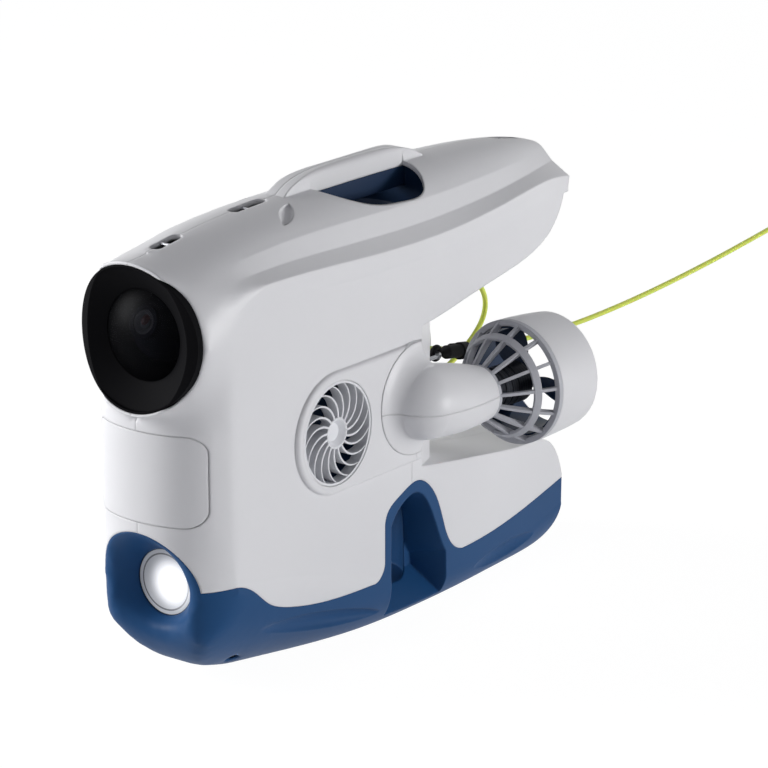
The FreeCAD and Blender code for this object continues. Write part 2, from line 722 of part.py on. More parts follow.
def keel_pockets(gap):
    """The two trays in the keel that hold the ballast bars."""
    trays = []
    for front_y, rear_y in BALLAST_SPANS:
        low = V(-BALLAST_HALF_WIDTH + gap, front_y + gap, BALLAST_FLOOR_Z + gap)
        high = V(BALLAST_HALF_WIDTH - gap, rear_y - gap, BALLAST_TOP_Z + (0 if gap else 60.0))
        trays.append(box(low, high))
    return trays


def insert_centres():
    """Middle of each accessory insert on the keel's underside."""
    return [V(sx * INSERT_SPAN_X / 2, INSERT_MID_Y + sy * INSERT_SPAN_Y / 2, 0)
            for sx in (-1, 1) for sy in (-1, 1)]


def liner_seat():
    """Room for the vertical tunnel where it enters the keel."""
    r = VERTICAL_R + LINER_WALL + FIT_GAP
    return cylinder(r, V(0, VERTICAL_Y, LINER_FOOT_Z - FIT_GAP), V(0, VERTICAL_Y, LINER_FOOT_Z + 40.0))


def tow_eye_seat():
    """A flat seat for the tow eye's plate on the back of the hull."""
    return box(V(-EYE_PLATE_X - FIT_GAP, EYE_SEAT_Y, EYE_Z - EYE_PLATE_Z - FIT_GAP),
               V(EYE_PLATE_X + FIT_GAP, EYE_SEAT_Y + 20.0, EYE_Z + EYE_PLATE_Z + FIT_GAP))


def gland_hole():
    """The hole for the tether gland in the underside of the upper fin."""
    return cylinder(GLAND_R + FIT_GAP, V(0, GLAND_Y, GLAND_Z - 5.0), V(0, GLAND_Y, GLAND_Z + GLAND_BODY))


def arm_cable_holes():
    reach = V(HALF_WIDTH + 20.0, 0, 0)
    root = V(0, ARM_ROOT_Y, ARM_ROOT_Z)
    return cylinder(CABLE_HOLE_R, root - reach, root + reach)


# ---- camera assembly ----

def camera_hood():
    """The black funnel round the dome, wrapped to follow the nose."""
    back = V(0, FRONT_Y + HOOD_DEPTH, CAMERA_Z)
    front = V(0, FRONT_Y - 5.0, CAMERA_Z)
    body = cylinder(HOOD_R, front, back + V(0, DOME_FLANGE_T, 0)).common(rim_wrap(0.3))
    lip = V(0, FRONT_Y + 4.0, CAMERA_Z)
    funnel = cone(HOOD_R - HOOD_LIP, DOME_SEAT_R, lip, back)
    mouth = cylinder(HOOD_R - HOOD_LIP, front, lip)
    flange = cylinder(DOME_FLANGE_R + FIT_GAP, back, back + V(0, DOME_FLANGE_T + 1.0, 0))
    neck = cylinder(DOME_SEAT_R, back - V(0, 0.5, 0), back + V(0, 0.5, 0))
    return body.cut(funnel.fuse([mouth, flange, neck]))


def dome_window():
    """A clear spherical cap on a flat flange."""
    seat_y = FRONT_Y + HOOD_DEPTH
    radius = (DOME_SEAT_R ** 2 + DOME_RISE ** 2) / (2.0 * DOME_RISE)
    centre = V(0, seat_y - DOME_RISE + radius, CAMERA_Z)
    outside = Part.makeSphere(radius, centre)
    inside = Part.makeSphere(radius - DOME_WALL, centre)
    window_r = DOME_SEAT_R - FIT_GAP
    back = V(0, seat_y + DOME_FLANGE_T, CAMERA_Z)
    cap = outside.common(cylinder(window_r, V(0, FRONT_Y - 5.0, CAMERA_Z), back))
    flange = cylinder(DOME_FLANGE_R, V(0, seat_y + 0.1, CAMERA_Z), back)
    return cap.fuse(flange).cut(inside)


def electronics_tube():
    """The pressure tube behind the dome."""
    front = tube_front()
    rear = front + V(0, TUBE_LENGTH, 0)
    return ring(TUBE_R, TUBE_R - TUBE_WALL, front, rear)


def tube_front():
    return V(0, FRONT_Y + HOOD_DEPTH + DOME_FLANGE_T, CAMERA_Z)


def tube_rear_cap():
    """The tube's rear end cap with its spigot and bolt circle."""
    rear = tube_front() + V(0, TUBE_LENGTH, 0)
    cap = cylinder(TUBE_R, rear, rear + V(0, CAP_T, 0))
    spigot = cylinder(TUBE_R - TUBE_WALL, rear - V(0, CAP_T, 0), rear)
    cap = cap.fuse(spigot)
    for turn in range(TUBE_CAP_BOLTS):
        angle = math.radians(360.0 / TUBE_CAP_BOLTS * turn + 30.0)
        spot = rear + V(math.cos(angle), 0, math.sin(angle)) * (TUBE_R - 7.0)
        cap = cap.cut(cylinder(CAP_BOLT_R, spot + V(0, CAP_T - 4.0, 0), spot + V(0, CAP_T + 1.0, 0)))
    return cap


def tube_cap_bolts():
    """Socket-head bolts of the rear cap."""
    rear = tube_front() + V(0, TUBE_LENGTH + CAP_T, 0)
    bolts = []
    for turn in range(TUBE_CAP_BOLTS):
        angle = math.radians(360.0 / TUBE_CAP_BOLTS * turn + 30.0)
        spot = rear + V(math.cos(angle), 0, math.sin(angle)) * (TUBE_R - 7.0)
        shank = cylinder(CAP_BOLT_R, spot - V(0, 4.0, 0), spot)
        head = cylinder(CAP_BOLT_R * 1.7, spot, spot + V(0, CAP_BOLT_R * 1.6, 0))
        bolts.append(shank.fuse(head))
    return Part.makeCompound(bolts)


def tilt_point(reach):
    """A point on the camera's line of sight at its rest tilt."""
    angle = math.radians(POD_REST_TILT)
    pivot = tilt_pivot()
    return pivot + V(0, -math.cos(angle), math.sin(angle)) * reach


def tilt_pivot():
    return V(0, FRONT_Y + HOOD_DEPTH + POD_SET_BACK, CAMERA_Z)


def camera_pod():
    """The ball-ended camera housing on its two tilt pins."""
    pivot = tilt_pivot()
    ball = Part.makeSphere(POD_R, pivot)
    ball = ball.common(box(pivot - V(EAR_X - 3.0, 60, 60), pivot + V(EAR_X - 3.0, 60, 60)))
    snout = cylinder(LENS_R + 3.0, tilt_point(0), tilt_point(LENS_REACH - 1.0))
    bore = cylinder(LENS_R, tilt_point(LENS_REACH - 6.0), tilt_point(LENS_REACH + 5.0))
    pins = cylinder(TILT_PIN_R, pivot - V(EAR_X + EAR_T, 0, 0), pivot + V(EAR_X + EAR_T, 0, 0))
    return ball.fuse([snout, pins]).cut(bore)


def camera_lens():
    """The lens set in the pod's snout, with a domed front element."""
    barrel = cylinder(LENS_R, tilt_point(LENS_REACH - 6.0), tilt_point(LENS_REACH - 1.5))
    dish = cone(LENS_R - 1.5, LENS_R - 4.5, tilt_point(LENS_REACH - 1.5), tilt_point(LENS_REACH - 3.5))
    glass = Part.makeSphere(LENS_R, tilt_point(LENS_REACH - 3.0 - LENS_R + 1.5))
    glass = glass.common(cylinder(LENS_R - 4.5, tilt_point(LENS_REACH - 5.0), tilt_point(LENS_REACH)))
    return barrel.cut(dish).fuse(glass)


def camera_cradle():
    """The bracket across the tube whose two ears carry the tilt pins."""
    pivot = tilt_pivot()
    back_y = pivot.y + POD_R + 4.0
    half = EAR_X + EAR_T
    base = box(V(-half, back_y, pivot.z - 14.0), V(half, back_y + 4.0, pivot.z + 14.0))
    bore = TUBE_R - TUBE_WALL
    disc = ring(bore, bore - 12.0, V(0, back_y + 4.0, CAMERA_Z), V(0, back_y + 7.0, CAMERA_Z))
    cradle = base.fuse(disc)
    ear = box(V(EAR_X, pivot.y - 6.0, pivot.z - 7.0), V(half, back_y + 1.0, pivot.z + 7.0))
    cradle = cradle.fuse([ear, mirror_x(ear)])
    hole = cylinder(TILT_PIN_R + RUNNING_GAP, pivot - V(60, 0, 0), pivot + V(60, 0, 0))
    return cradle.cut(hole)


def tilt_servo():
    """The small gearmotor behind the cradle that turns the camera."""
    y = tilt_pivot().y + POD_R + 11.0
    body = box(V(-14.0, y, CAMERA_Z - 11.0), V(14.0, y + 24.0, CAMERA_Z + 11.0))
    tabs = box(V(-19.0, y + 4.0, CAMERA_Z - 5.0), V(19.0, y + 7.0, CAMERA_Z + 5.0))
    return body.fuse(tabs)


def electronics_boards():
    """Two long circuit boards on a centre rail inside the tube."""
    front = tube_front().y + 85.0
    rear = tube_front().y + TUBE_LENGTH - CAP_T - FIT_GAP
    boards = [box(V(-30.0, front, CAMERA_Z + dz), V(30.0, rear, CAMERA_Z + dz + 1.6)) for dz in (-16.0, 12.0)]
    rail = box(V(-4.0, front, CAMERA_Z - 16.0), V(4.0, rear, CAMERA_Z + 12.0))
    return boards[0].fuse([rail, boards[1]])


# ---- battery and lamp ----

def battery_can():
    """The battery's round can behind the front cover."""
    z = 0.5 * (COVER_LOW_Z + COVER_HIGH_Z)
    front = V(0, NOSE_Y + NOSE_WALL + 6.0, z)
    can = cylinder(BATTERY_R, front, front + V(0, BATTERY_LENGTH, 0))
    rim = [e for e in can.Edges if abs(e.CenterOfMass.y - front.y - BATTERY_LENGTH) < 0.01]
    return can.makeFillet(4.0, rim[:1])


def battery_cap():
    """The battery's screw cap with a finger bar across it."""
    z = 0.5 * (COVER_LOW_Z + COVER_HIGH_Z)
    back = V(0, NOSE_Y + NOSE_WALL + 6.0, z)
    face = back - V(0, BATTERY_CAP_T, 0)
    bar = box(V(-18.0, face.y - 4.0, z - 3.0), V(18.0, face.y, z + 3.0))
    return cylinder(BATTERY_R - 2.0, face, back).fuse(bar)


def lamp_pieces():
    """Lamp body with cooling fins behind, reflector cup, light board, lens and screws."""
    seat = V(0, LAMP_LENS_Y, LAMP_Z)
    back = seat + V(0, LAMP_BODY_LENGTH, 0)
    floor = seat + V(0, LAMP_LENS_T + REFLECTOR_DEPTH + BOARD_T, 0)
    body = cylinder(LAMP_BODY_R, seat + V(0, FIT_GAP, 0), back)
    body = body.cut(cylinder(LAMP_LENS_R, seat, floor))
    for step in range(LAMP_FIN_SLOTS):
        y = back.y - 4.0 - 5.0 * step
        body = body.cut(ring(LAMP_BODY_R + 1.0, LAMP_BODY_R - 6.0, V(0, y - 2.5, LAMP_Z), V(0, y, LAMP_Z)))
    lens = cylinder(LAMP_LENS_R, seat + V(0, FIT_GAP, 0), seat + V(0, LAMP_LENS_T, 0))
    cup = cylinder(LAMP_LENS_R, seat + V(0, LAMP_LENS_T, 0), seat + V(0, LAMP_LENS_T + REFLECTOR_DEPTH, 0))
    cup = cup.cut(cone(LAMP_LENS_R - 1.5, REFLECTOR_FLOOR_R, seat + V(0, LAMP_LENS_T, 0),
                       seat + V(0, LAMP_LENS_T + REFLECTOR_DEPTH, 0)))
    board = cylinder(LAMP_LENS_R - 0.5, floor - V(0, BOARD_T, 0), floor)
    screws = []
    for turn in range(LAMP_SCREWS):
        angle = math.radians(45.0 + 360.0 / LAMP_SCREWS * turn)
        spot = floor + V(math.cos(angle), 0, math.sin(angle)) * (0.5 * LAMP_LENS_R)
        screw = cylinder(SCREW_R, spot - V(0, BOARD_T + 1.4, 0), spot + V(0, 6.0, 0))
        screws.append(screw)
        board = board.cut(screw)
        body = body.cut(screw)
    return {"lamp_body": body, "lamp_lens": lens, "lamp_reflector": cup, "light_board": board,
            "lamp_screws": Part.makeCompound(screws)}


def ballast_bars():
    """The steel trim bars in the keel's trays."""
    return Part.makeCompound(keel_pockets(FIT_GAP))


def keel_inserts():
    """Threaded brass inserts for a skid or an instrument under the keel."""
    top = V(0, 0, INSERT_DEPTH)
    return Part.makeCompound([ring(INSERT_OUTER_R, INSERT_R, c, c + top) for c in insert_centres()])


# ---- tunnels, grilles and thrusters ----

def side_grille(x_out):
    """A flat round guard of curved vanes between a rim and a dished hub, facing +X."""
    centre = V(x_out, LATERAL_Y, LATERAL_Z)
    back = centre - V(GRILLE_DEPTH, 0, 0)
    rim = ring(GRILLE_R, GRILLE_R - GRILLE_RING_T, back, centre)
    hub = cylinder(GRILLE_HUB_R, back, centre - V(0.6, 0, 0))
    dish = cone(GRILLE_HUB_R - 1.6, GRILLE_HUB_R - 5.0, centre - V(0.6, 0, 0), centre - V(5.0, 0, 0))
    vanes = [grille_vane(back, 360.0 / GRILLE_VANES * n) for n in range(GRILLE_VANES)]
    return rim.fuse(vanes + [hub]).cut(dish)


def grille_vane(back, turn):
    """One vane, a thin plate bent along an arc from the hub to the rim."""
    half = 0.5 * GRILLE_VANE_T
    inner = GRILLE_HUB_R - 1.0
    outer = GRILLE_R - 0.5 * GRILLE_RING_T
    points = []
    for radius, lag in ((inner, 0.0), (0.5 * (inner + outer), 0.30), (outer, 1.0)):
        angle = math.radians(turn + GRILLE_SWEEP_DEG * lag)
        points.append((radius, angle))
    left = [polar(back, r, a + half / r) for r, a in points]
    right = [polar(back, r, a - half / r) for r, a in points]
    edges = [
        Part.Arc(*left).toShape(),
        Part.makeLine(left[2], right[2]),
        Part.Arc(*reversed(right)).toShape(),
        Part.makeLine(right[0], left[0]),
    ]
    return prism(edges, V(GRILLE_DEPTH - 0.4, 0, 0))


def polar(centre, radius, angle):
    """A point round an axis along X."""
    return centre + V(0, radius * math.cos(angle), radius * math.sin(angle))


def place(shape, origin, axis):
    """Moves a piece that was made along +Z to an origin and a direction."""
    placed = shape.copy()
    placed.Placement = FreeCAD.Placement(origin, FreeCAD.Rotation(Z_AXIS, axis))
    return placed


def propeller(tip_r):
    """Three twisted blades on a hub with a tapered nose and a steel shaft, turning about +Z."""
    hub = cylinder(HUB_R, V(0, 0, 0), V(0, 0, HUB_LENGTH - 4.0))
    nose = cone(HUB_R, HUB_R - 4.5, V(0, 0, HUB_LENGTH - 4.0), V(0, 0, HUB_LENGTH))
    blades = []
    for n in range(BLADES):
        blades.append(blade(tip_r).rotated(V(0, 0, 0), Z_AXIS, 360.0 / BLADES * n))
    return hub.fuse([nose, shaft()] + blades)


def blade(tip_r):
    """One blade lofted through turned plates, widest at two thirds of its reach."""
    wires = []
    for share, chord, pitch in ((0.0, 13.0, 52.0), (0.35, 21.0, 36.0), (0.7, 25.0, 27.0), (1.0, 16.0, 22.0)):
        radius = HUB_R - 2.0 + share * (tip_r - HUB_R + 3.0)
        wires.append(blade_section(radius, chord, pitch * BLADE_PITCH_DEG / 24.0))
    solid = Part.makeLoft(wires, True, False)
    sweep = cylinder(tip_r, V(0, 0, -20), V(0, 0, HUB_LENGTH + 20))
    return solid.common(sweep)


def blade_section(radius, chord, pitch):
    """A thin lens-shaped section standing at a radius along +X."""
    c = math.cos(math.radians(pitch))
    s = math.sin(math.radians(pitch))
    mid_z = 0.5 * HUB_LENGTH - 1.0

    def at(along, up):
        return V(radius, along * c - up * s, mid_z + along * s + up * c)

    lead = at(-0.5 * chord, 0)
    trail = at(0.5 * chord, 0)
    return Part.Wire([
        Part.Arc(lead, at(0, BLADE_T * 0.8), trail).toShape(),
        Part.Arc(trail, at(0, -BLADE_T * 0.2), lead).toShape(),
    ])


def motor(length, radius):
    """A sealed motor can with cooling grooves, open along its axis for the shaft."""
    can = cylinder(radius, V(0, 0, 0), V(0, 0, length))
    for n in range(3):
        z = length * (0.3 + 0.17 * n)
        can = can.cut(ring(radius + 1.0, radius - 0.8, V(0, 0, z), V(0, 0, z + 1.6)))
    return can.cut(cylinder(SHAFT_R + RUNNING_GAP, V(0, 0, length - SHAFT_DEPTH), V(0, 0, length + 1.0)))


def shaft():
    """The steel shaft from the motor through the propeller's hub."""
    return cylinder(SHAFT_R, V(0, 0, FIT_GAP - SHAFT_DEPTH), V(0, 0, HUB_LENGTH + 2.0))


def motor_mount(tunnel_r, motor_r):
    """A collar round the motor, three streamlined struts and a band in the tunnel."""
    band = ring(tunnel_r, tunnel_r - 1.8, V(0, 0, 0), V(0, 0, MOUNT_LENGTH))
    collar = ring(motor_r + 2.5, motor_r, V(0, 0, 0), V(0, 0, MOUNT_LENGTH))
    struts = []
    for n in range(3):
        strut = box(V(motor_r + 1.0, -1.5, 1.0), V(tunnel_r - 0.9, 1.5, MOUNT_LENGTH - 1.0))
        struts.append(strut.rotated(V(0, 0, 0), Z_AXIS, 120.0 * n + 60.0))
    return band.fuse([collar] + struts)


def tunnel_thruster(name, origin, axis, tunnel_r):
    """Motor, mount, shaft and propeller of a thruster inside a tunnel."""
    motor_base = origin - axis * (MOTOR_LENGTH * 0.5)
    nose = origin + axis * (MOTOR_LENGTH * 0.5 + FIT_GAP)
    return {
        name + "_motor": place(motor(MOTOR_LENGTH, MOTOR_R), motor_base, axis),
        name + "_motor_mount": place(motor_mount(tunnel_r, MOTOR_R), motor_base + axis * 4.0, axis),
        name + "_propeller": place(propeller(tunnel_r - BLADE_TIP_GAP), nose, axis),
    }


def lateral_tunnel():
    x = HALF_WIDTH + BOSS_HEIGHT - GRILLE_DEPTH - GRILLE_PROUD - FIT_GAP
    end = V(x, LATERAL_Y, LATERAL_Z)
    return ring(TUNNEL_R + TUNNEL_WALL, TUNNEL_R, mirrored(end), end)


def intake_liner():
    """The vertical tunnel, the bowl that opens it into the hand recesses, and the
    dark underside of the carrying handle."""
    foot = V(0, VERTICAL_Y, LINER_FOOT_Z)
    neck = V(0, VERTICAL_Y, LINER_NECK_Z)
    tube = ring(VERTICAL_R + LINER_WALL, VERTICAL_R, foot, neck)
    outer = bowl_form(LINER_WALL)
    bowl = outer.cut(bowl_form(0))
    rise = V(0, 0, 60.0)
    wall = Part.Face(bowl_rim(LINER_WALL)).extrude(rise).cut(Part.Face(bowl_rim(0)).extrude(rise))
    half = HANDLE_HALF_WIDTH
    core = box(V(-half, BOWL_FRONT_Y - 1.0, HANDLE_GRIP_Z), V(half, BOWL_REAR_Y + 1.0, CROWN_Z - WALL - 0.8))
    upper = bowl.fuse([wall, core]).common(hull_form(WALL + FIT_GAP))
    return tube.fuse(upper)


def bowl_rim(grow):
    """The bowl's top edge, a smooth outline that holds both hand recesses."""
    wide = V(INTAKE_REACH_X + 1.5 + grow, VERTICAL_Y, LINER_TOP_Z)
    aft = [V(40.0 + 0.8 * grow, BOWL_REAR_Y - 14.0 + 0.6 * grow, LINER_TOP_Z),
           V(23.0 + 0.4 * grow, BOWL_REAR_Y - 1.0 + grow, LINER_TOP_Z)]
    ahead = [V(25.0 + 0.7 * grow, BOWL_FRONT_Y + 9.0 - 0.7 * grow, LINER_TOP_Z),
             V(39.0 + grow, BOWL_FRONT_Y + 29.0 - 0.3 * grow, LINER_TOP_Z)]
    rear = V(0, BOWL_REAR_Y + grow, LINER_TOP_Z)
    front = V(0, BOWL_FRONT_Y - grow, LINER_TOP_Z)
    left = [mirrored(p) for p in ahead + [wide] + aft]
    return smooth_loop([wide] + aft + [rear] + left[::-1] + [front] + ahead)


def bowl_form(grow):
    """A loft from the tunnel's round mouth up to the rim of the hand recesses."""
    mouth = Part.Wire([Part.Circle(V(0, VERTICAL_Y, LINER_NECK_Z), Z_AXIS, VERTICAL_R + grow).toShape()])
    return Part.makeLoft([mouth, bowl_rim(grow)], True, True)


def smooth_loop(points):
    """A closed smooth wire through the points."""
    curve = Part.BSplineCurve()
    curve.interpolate(points, True)
    return Part.Wire([curve.toShape()])


# ---- rear thrusters and arms ----

def thrust_axis():
    """Unit vector of the port rear thruster, pointing aft and slightly outwards."""
    return V(math.sin(math.radians(TOE_DEG)), math.cos(math.radians(TOE_DEG)), 0)


def thrust_point(ahead):
    """A point on the port thruster's axis, measured forward from the duct's rear rim."""
    rim = V(OVERALL_WIDTH / 2 - DUCT_REAR_R, DUCT_REAR_Y, THRUSTER_Z)
    return rim - thrust_axis() * ahead


def duct():
    """The nozzle, a tapered ring made from the port thruster's rear rim forwards."""
    profile = [V(DUCT_REAR_R - DUCT_WALL, 0, 0), V(DUCT_REAR_R, 0, 0), V(DUCT_FRONT_R, 0, DUCT_LENGTH),
               V(DUCT_REAR_R - DUCT_WALL, 0, DUCT_LENGTH)]
    lip = V(DUCT_REAR_R - DUCT_WALL * 0.5, 0, -DUCT_WALL * 0.45)
    belly = V(0.5 * (DUCT_REAR_R + DUCT_FRONT_R) + 0.4, 0, 0.45 * DUCT_LENGTH)
    face = Part.Face(Part.Wire([
        Part.Arc(profile[0], lip, profile[1]).toShape(),
        Part.Arc(profile[1], belly, profile[2]).toShape(),
        Part.makeLine(profile[2], profile[3]),
        Part.makeLine(profile[3], profile[0]),
    ]))
    return place(face.revolve(V(0, 0, 0), Z_AXIS, 360), thrust_point(0), thrust_axis() * -1.0)


def duct_liner():
    """The dark wear ring pressed into the nozzle."""
    outer = DUCT_REAR_R - DUCT_WALL
    liner = ring(outer, outer - DUCT_LINER_T, V(0, 0, 2.0), V(0, 0, DUCT_LENGTH))
    return place(liner, thrust_point(0), thrust_axis() * -1.0)


def cage_profile(depth):
    """A guard rib's edge at a depth under its outer line, from the arm's ring out to the nozzle."""
    tuck = 0.4
    return [V(CAGE_RING_R - tuck - depth, 0, CAGE_LENGTH - tuck),
            V(CAGE_HOOP_R - 0.8 * depth, 0, 0.42 * CAGE_LENGTH - 0.6 * depth),
            V(DUCT_FRONT_R - tuck - depth, 0, tuck)]


def guard():
    """The domed guard ahead of the propeller: meridian ribs, a hoop and two rings."""
    outer = cage_profile(0.0)
    inner = cage_profile(CAGE_RIB_DEPTH)
    rib_face = [
        Part.Arc(*outer).toShape(),
        Part.makeLine(outer[2], inner[2]),
        Part.Arc(*reversed(inner)).toShape(),
        Part.makeLine(inner[0], outer[0]),
    ]
    rib = prism([e.translated(V(0, -0.5 * CAGE_RIB_T, 0)) for e in rib_face], V(0, CAGE_RIB_T, 0))
    ribs = [rib.rotated(V(0, 0, 0), Z_AXIS, 360.0 / CAGE_RIBS * n) for n in range(CAGE_RIBS)]
    base = ring(DUCT_FRONT_R, DUCT_FRONT_R - CAGE_RIB_DEPTH, V(0, 0, 0), V(0, 0, 4.0))
    nose = ring(CAGE_RING_R, CAGE_RING_R - CAGE_RIB_DEPTH, V(0, 0, CAGE_LENGTH - 3.0), V(0, 0, CAGE_LENGTH))
    hoop_z = 0.42 * CAGE_LENGTH
    hoop_face = [V(CAGE_HOOP_R + 1.9, 0, hoop_z - 2.4), V(CAGE_HOOP_R - 1.2, 0, hoop_z + 2.4),
                 V(CAGE_HOOP_R - 3.4, 0, hoop_z + 1.4), V(CAGE_HOOP_R - 0.3, 0, hoop_z - 3.4)]
    hoop = Part.Face(Part.makePolygon(hoop_face + [hoop_face[0]])).revolve(V(0, 0, 0), Z_AXIS, 360)
    cage = base.fuse(ribs + [nose, hoop])
    return cage


def rear_thruster(name):
    """Motor, shaft and propeller inside the port nozzle and guard."""
    mouth = thrust_point(DUCT_LENGTH + CAGE_LENGTH - FIT_GAP)
    axis = thrust_axis()
    nose = mouth + axis * (REAR_MOTOR_LENGTH + FIT_GAP)
    tip_r = DUCT_REAR_R - DUCT_WALL - DUCT_LINER_T - BLADE_TIP_GAP
    return {
        name + "_motor": place(motor(REAR_MOTOR_LENGTH, REAR_MOTOR_R), mouth, axis),
        name + "_propeller": place(propeller(tip_r), nose, axis),
    }


def arm():
    """The port arm: a flared root on the hull's side, an elbow and a tapering pod."""
    root = V(HALF_WIDTH - 6.0, ARM_ROOT_Y, ARM_ROOT_Z)
    elbow = V(ELBOW_X, ARM_ROOT_Y, ARM_ROOT_Z - 1.5)
    lip = V(HALF_WIDTH + BOSS_HEIGHT + 0.6, root.y, root.z + ARM_ROOT_R)
    waist = V(ELBOW_X + 6.0, root.y, root.z + ELBOW_R - 1.5)
    middle = V(lip.x + 2.6, root.y, root.z + 0.6 * ELBOW_R + 0.4 * ARM_ROOT_R)
    hub = V(waist.x, root.y, root.z)
    face = Part.Face(Part.Wire([
        Part.makeLine(root, root + V(0, 0, ARM_ROOT_R)),
        Part.makeLine(root + V(0, 0, ARM_ROOT_R), lip),
        Part.Arc(lip, middle, waist).toShape(),
        Part.makeLine(waist, hub),
        Part.makeLine(hub, root),
    ]))
    flare = face.revolve(root, X_AXIS, 360)
    flare = flare.common(box(V(0, -120, 80), V(130, FLARE_REAR_Y, 260)))
    axis = thrust_axis()
    end = thrust_point(DUCT_LENGTH + CAGE_LENGTH)
    aft = V(0.1, 0.995, 0)
    tube = Part.makeLoft([
        facing_circle(elbow, ELBOW_R, aft),
        facing_circle((elbow + end) * 0.5 + V(1.5, 0, 0), 0.55 * ELBOW_R + 0.5 * CAGE_RING_R,
                      V(0.16, 0.987, 0)),
        facing_circle(end, CAGE_RING_R, axis),
    ], True, False)
    knob = Part.makeSphere(ELBOW_R, elbow, aft * -1.0, 0, 90, 360)
    body = tube.fuse(knob).fuse(flare)
    return body.cut(hull_form(0)).cut(grille_boss())


def facing_circle(centre, radius, axis):
    return Part.Wire([Part.Circle(centre, axis, radius).toShape()])


def arm_halves():
    """Upper and lower arm mouldings, parted along a gently rising seam."""
    body = arm()
    end_z = THRUSTER_Z
    front_z = ARM_ROOT_Z - 3.0
    front_y = ARM_ROOT_Y - 60.0
    rear_y = thrust_point(DUCT_LENGTH).y
    corners = [V(20, front_y, front_z), V(20, rear_y, end_z),
               V(20, rear_y, end_z + 90.0), V(20, front_y, front_z + 90.0)]
    edges = [Part.makeLine(a, b) for a, b in zip(corners, corners[1:] + corners[:1])]
    above = prism(edges, V(120, 0, 0))
    return body.common(above), body.cut(above)


# ---- tether gear ----

def tow_eye():
    """The towing eye, a lug on a plate at the back of the hull."""
    plate = box(V(-EYE_PLATE_X, EYE_SEAT_Y + FIT_GAP, EYE_Z - EYE_PLATE_Z),
                V(EYE_PLATE_X, EYE_SEAT_Y + EYE_PLATE_T, EYE_Z + EYE_PLATE_Z))
    lug = cylinder(EYE_R + EYE_RIM, V(-EYE_HALF_T, EYE_Y, EYE_Z), V(EYE_HALF_T, EYE_Y, EYE_Z))
    half = EYE_R + EYE_RIM
    root = box(V(-EYE_HALF_T, EYE_SEAT_Y + 1.0, EYE_Z - half), V(EYE_HALF_T, EYE_Y, EYE_Z + half))
    hole = cylinder(EYE_R, V(-20, EYE_Y, EYE_Z), V(20, EYE_Y, EYE_Z))
    return plate.fuse([lug, root]).cut(hole)


def hook_path():
    """Corners of the snap hook's bar: two half circles and the closed starboard side."""
    w = HOOK_HALF_WIDTH
    clear = math.sqrt((w - HOOK_BAR_R) ** 2 - EYE_HALF_T ** 2)
    front = EYE_Y + EYE_R + clear - FIT_GAP
    rear = HOOK_REAR_Y - w
    return front, rear, w


def snap_hook():
    """A long link of round bar with a gap in its port side for the gate."""
    front, rear, w = hook_path()
    ahead = box(V(-40, 0, 0), V(40, front, 400))
    aft = box(V(-40, rear, 0), V(40, 300, 400))
    link = Part.makeTorus(w, HOOK_BAR_R, V(0, front, EYE_Z), Z_AXIS).common(ahead)
    tail = Part.makeTorus(w, HOOK_BAR_R, V(0, rear, EYE_Z), Z_AXIS).common(aft)
    back = cylinder(HOOK_BAR_R, V(-w, front, EYE_Z), V(-w, rear, EYE_Z))
    nose = cylinder(HOOK_BAR_R, V(w, front, EYE_Z), V(w, GATE_TIP_Y - FIT_GAP, EYE_Z))
    hinge = gate_hinge()
    cheek = cylinder(HOOK_BAR_R, hinge - V(0, 0, HOOK_BAR_R), hinge + V(0, 0, HOOK_BAR_R))
    slot = box(hinge + V(-4, -4, -GATE_TONGUE - 0.25), hinge + V(4, HOOK_BAR_R + 0.4, GATE_TONGUE + 0.25))
    pin = cylinder(GATE_PIN_R, hinge - V(0, 0, HOOK_BAR_R), hinge + V(0, 0, HOOK_BAR_R))
    body = link.fuse([tail, back, nose, cheek]).cut(slot)
    return body.fuse(pin)


def gate_hinge():
    return V(HOOK_HALF_WIDTH, HOOK_REAR_Y - HOOK_HALF_WIDTH, EYE_Z)


def hook_gate():
    """The sprung gate, a short bar with a flat tongue on the hook's pin."""
    hinge = gate_hinge()
    bar = cylinder(GATE_R, V(hinge.x, GATE_TIP_Y, EYE_Z), V(hinge.x, hinge.y - HOOK_BAR_R - 0.6, EYE_Z))
    tongue = box(hinge + V(-1.3, -HOOK_BAR_R - 2.0, -GATE_TONGUE), hinge + V(1.3, 0, GATE_TONGUE))
    eye = cylinder(HOOK_BAR_R - 0.4, hinge - V(0, 0, GATE_TONGUE), hinge + V(0, 0, GATE_TONGUE))
    hole = cylinder(GATE_PIN_R + RUNNING_GAP, hinge - V(0, 0, 5), hinge + V(0, 0, 5))
    return bar.fuse([tongue, eye]).cut(hole)


def grip_line(y):
    """A point on the straight braided grip at a distance aft."""
    slope = (GRIP_END_Z - EYE_Z) / (GRIP_END_Y - HOOK_REAR_Y)
    return V(0, y, EYE_Z + slope * (y - HOOK_REAR_Y))


def braided_grip():
    """The rope grip that holds the tether: an eye round the hook, then a thick tail."""
    bend = V(0, HOOK_REAR_Y, EYE_Z)
    eye = Part.makeTorus(HOOK_BAR_R + FIT_GAP + GRIP_EYE_R, GRIP_EYE_R, bend, X_AXIS)
    start = grip_line(HOOK_REAR_Y + HOOK_BAR_R + GRIP_EYE_R + 2.0)
    tail = grip_line(GRIP_END_Y)
    taper = cone(GRIP_EYE_R, GRIP_R, start, grip_line(start.y + 7.0))
    body = cylinder(GRIP_R, grip_line(start.y + 7.0), tail)
    return eye.fuse([taper, body])


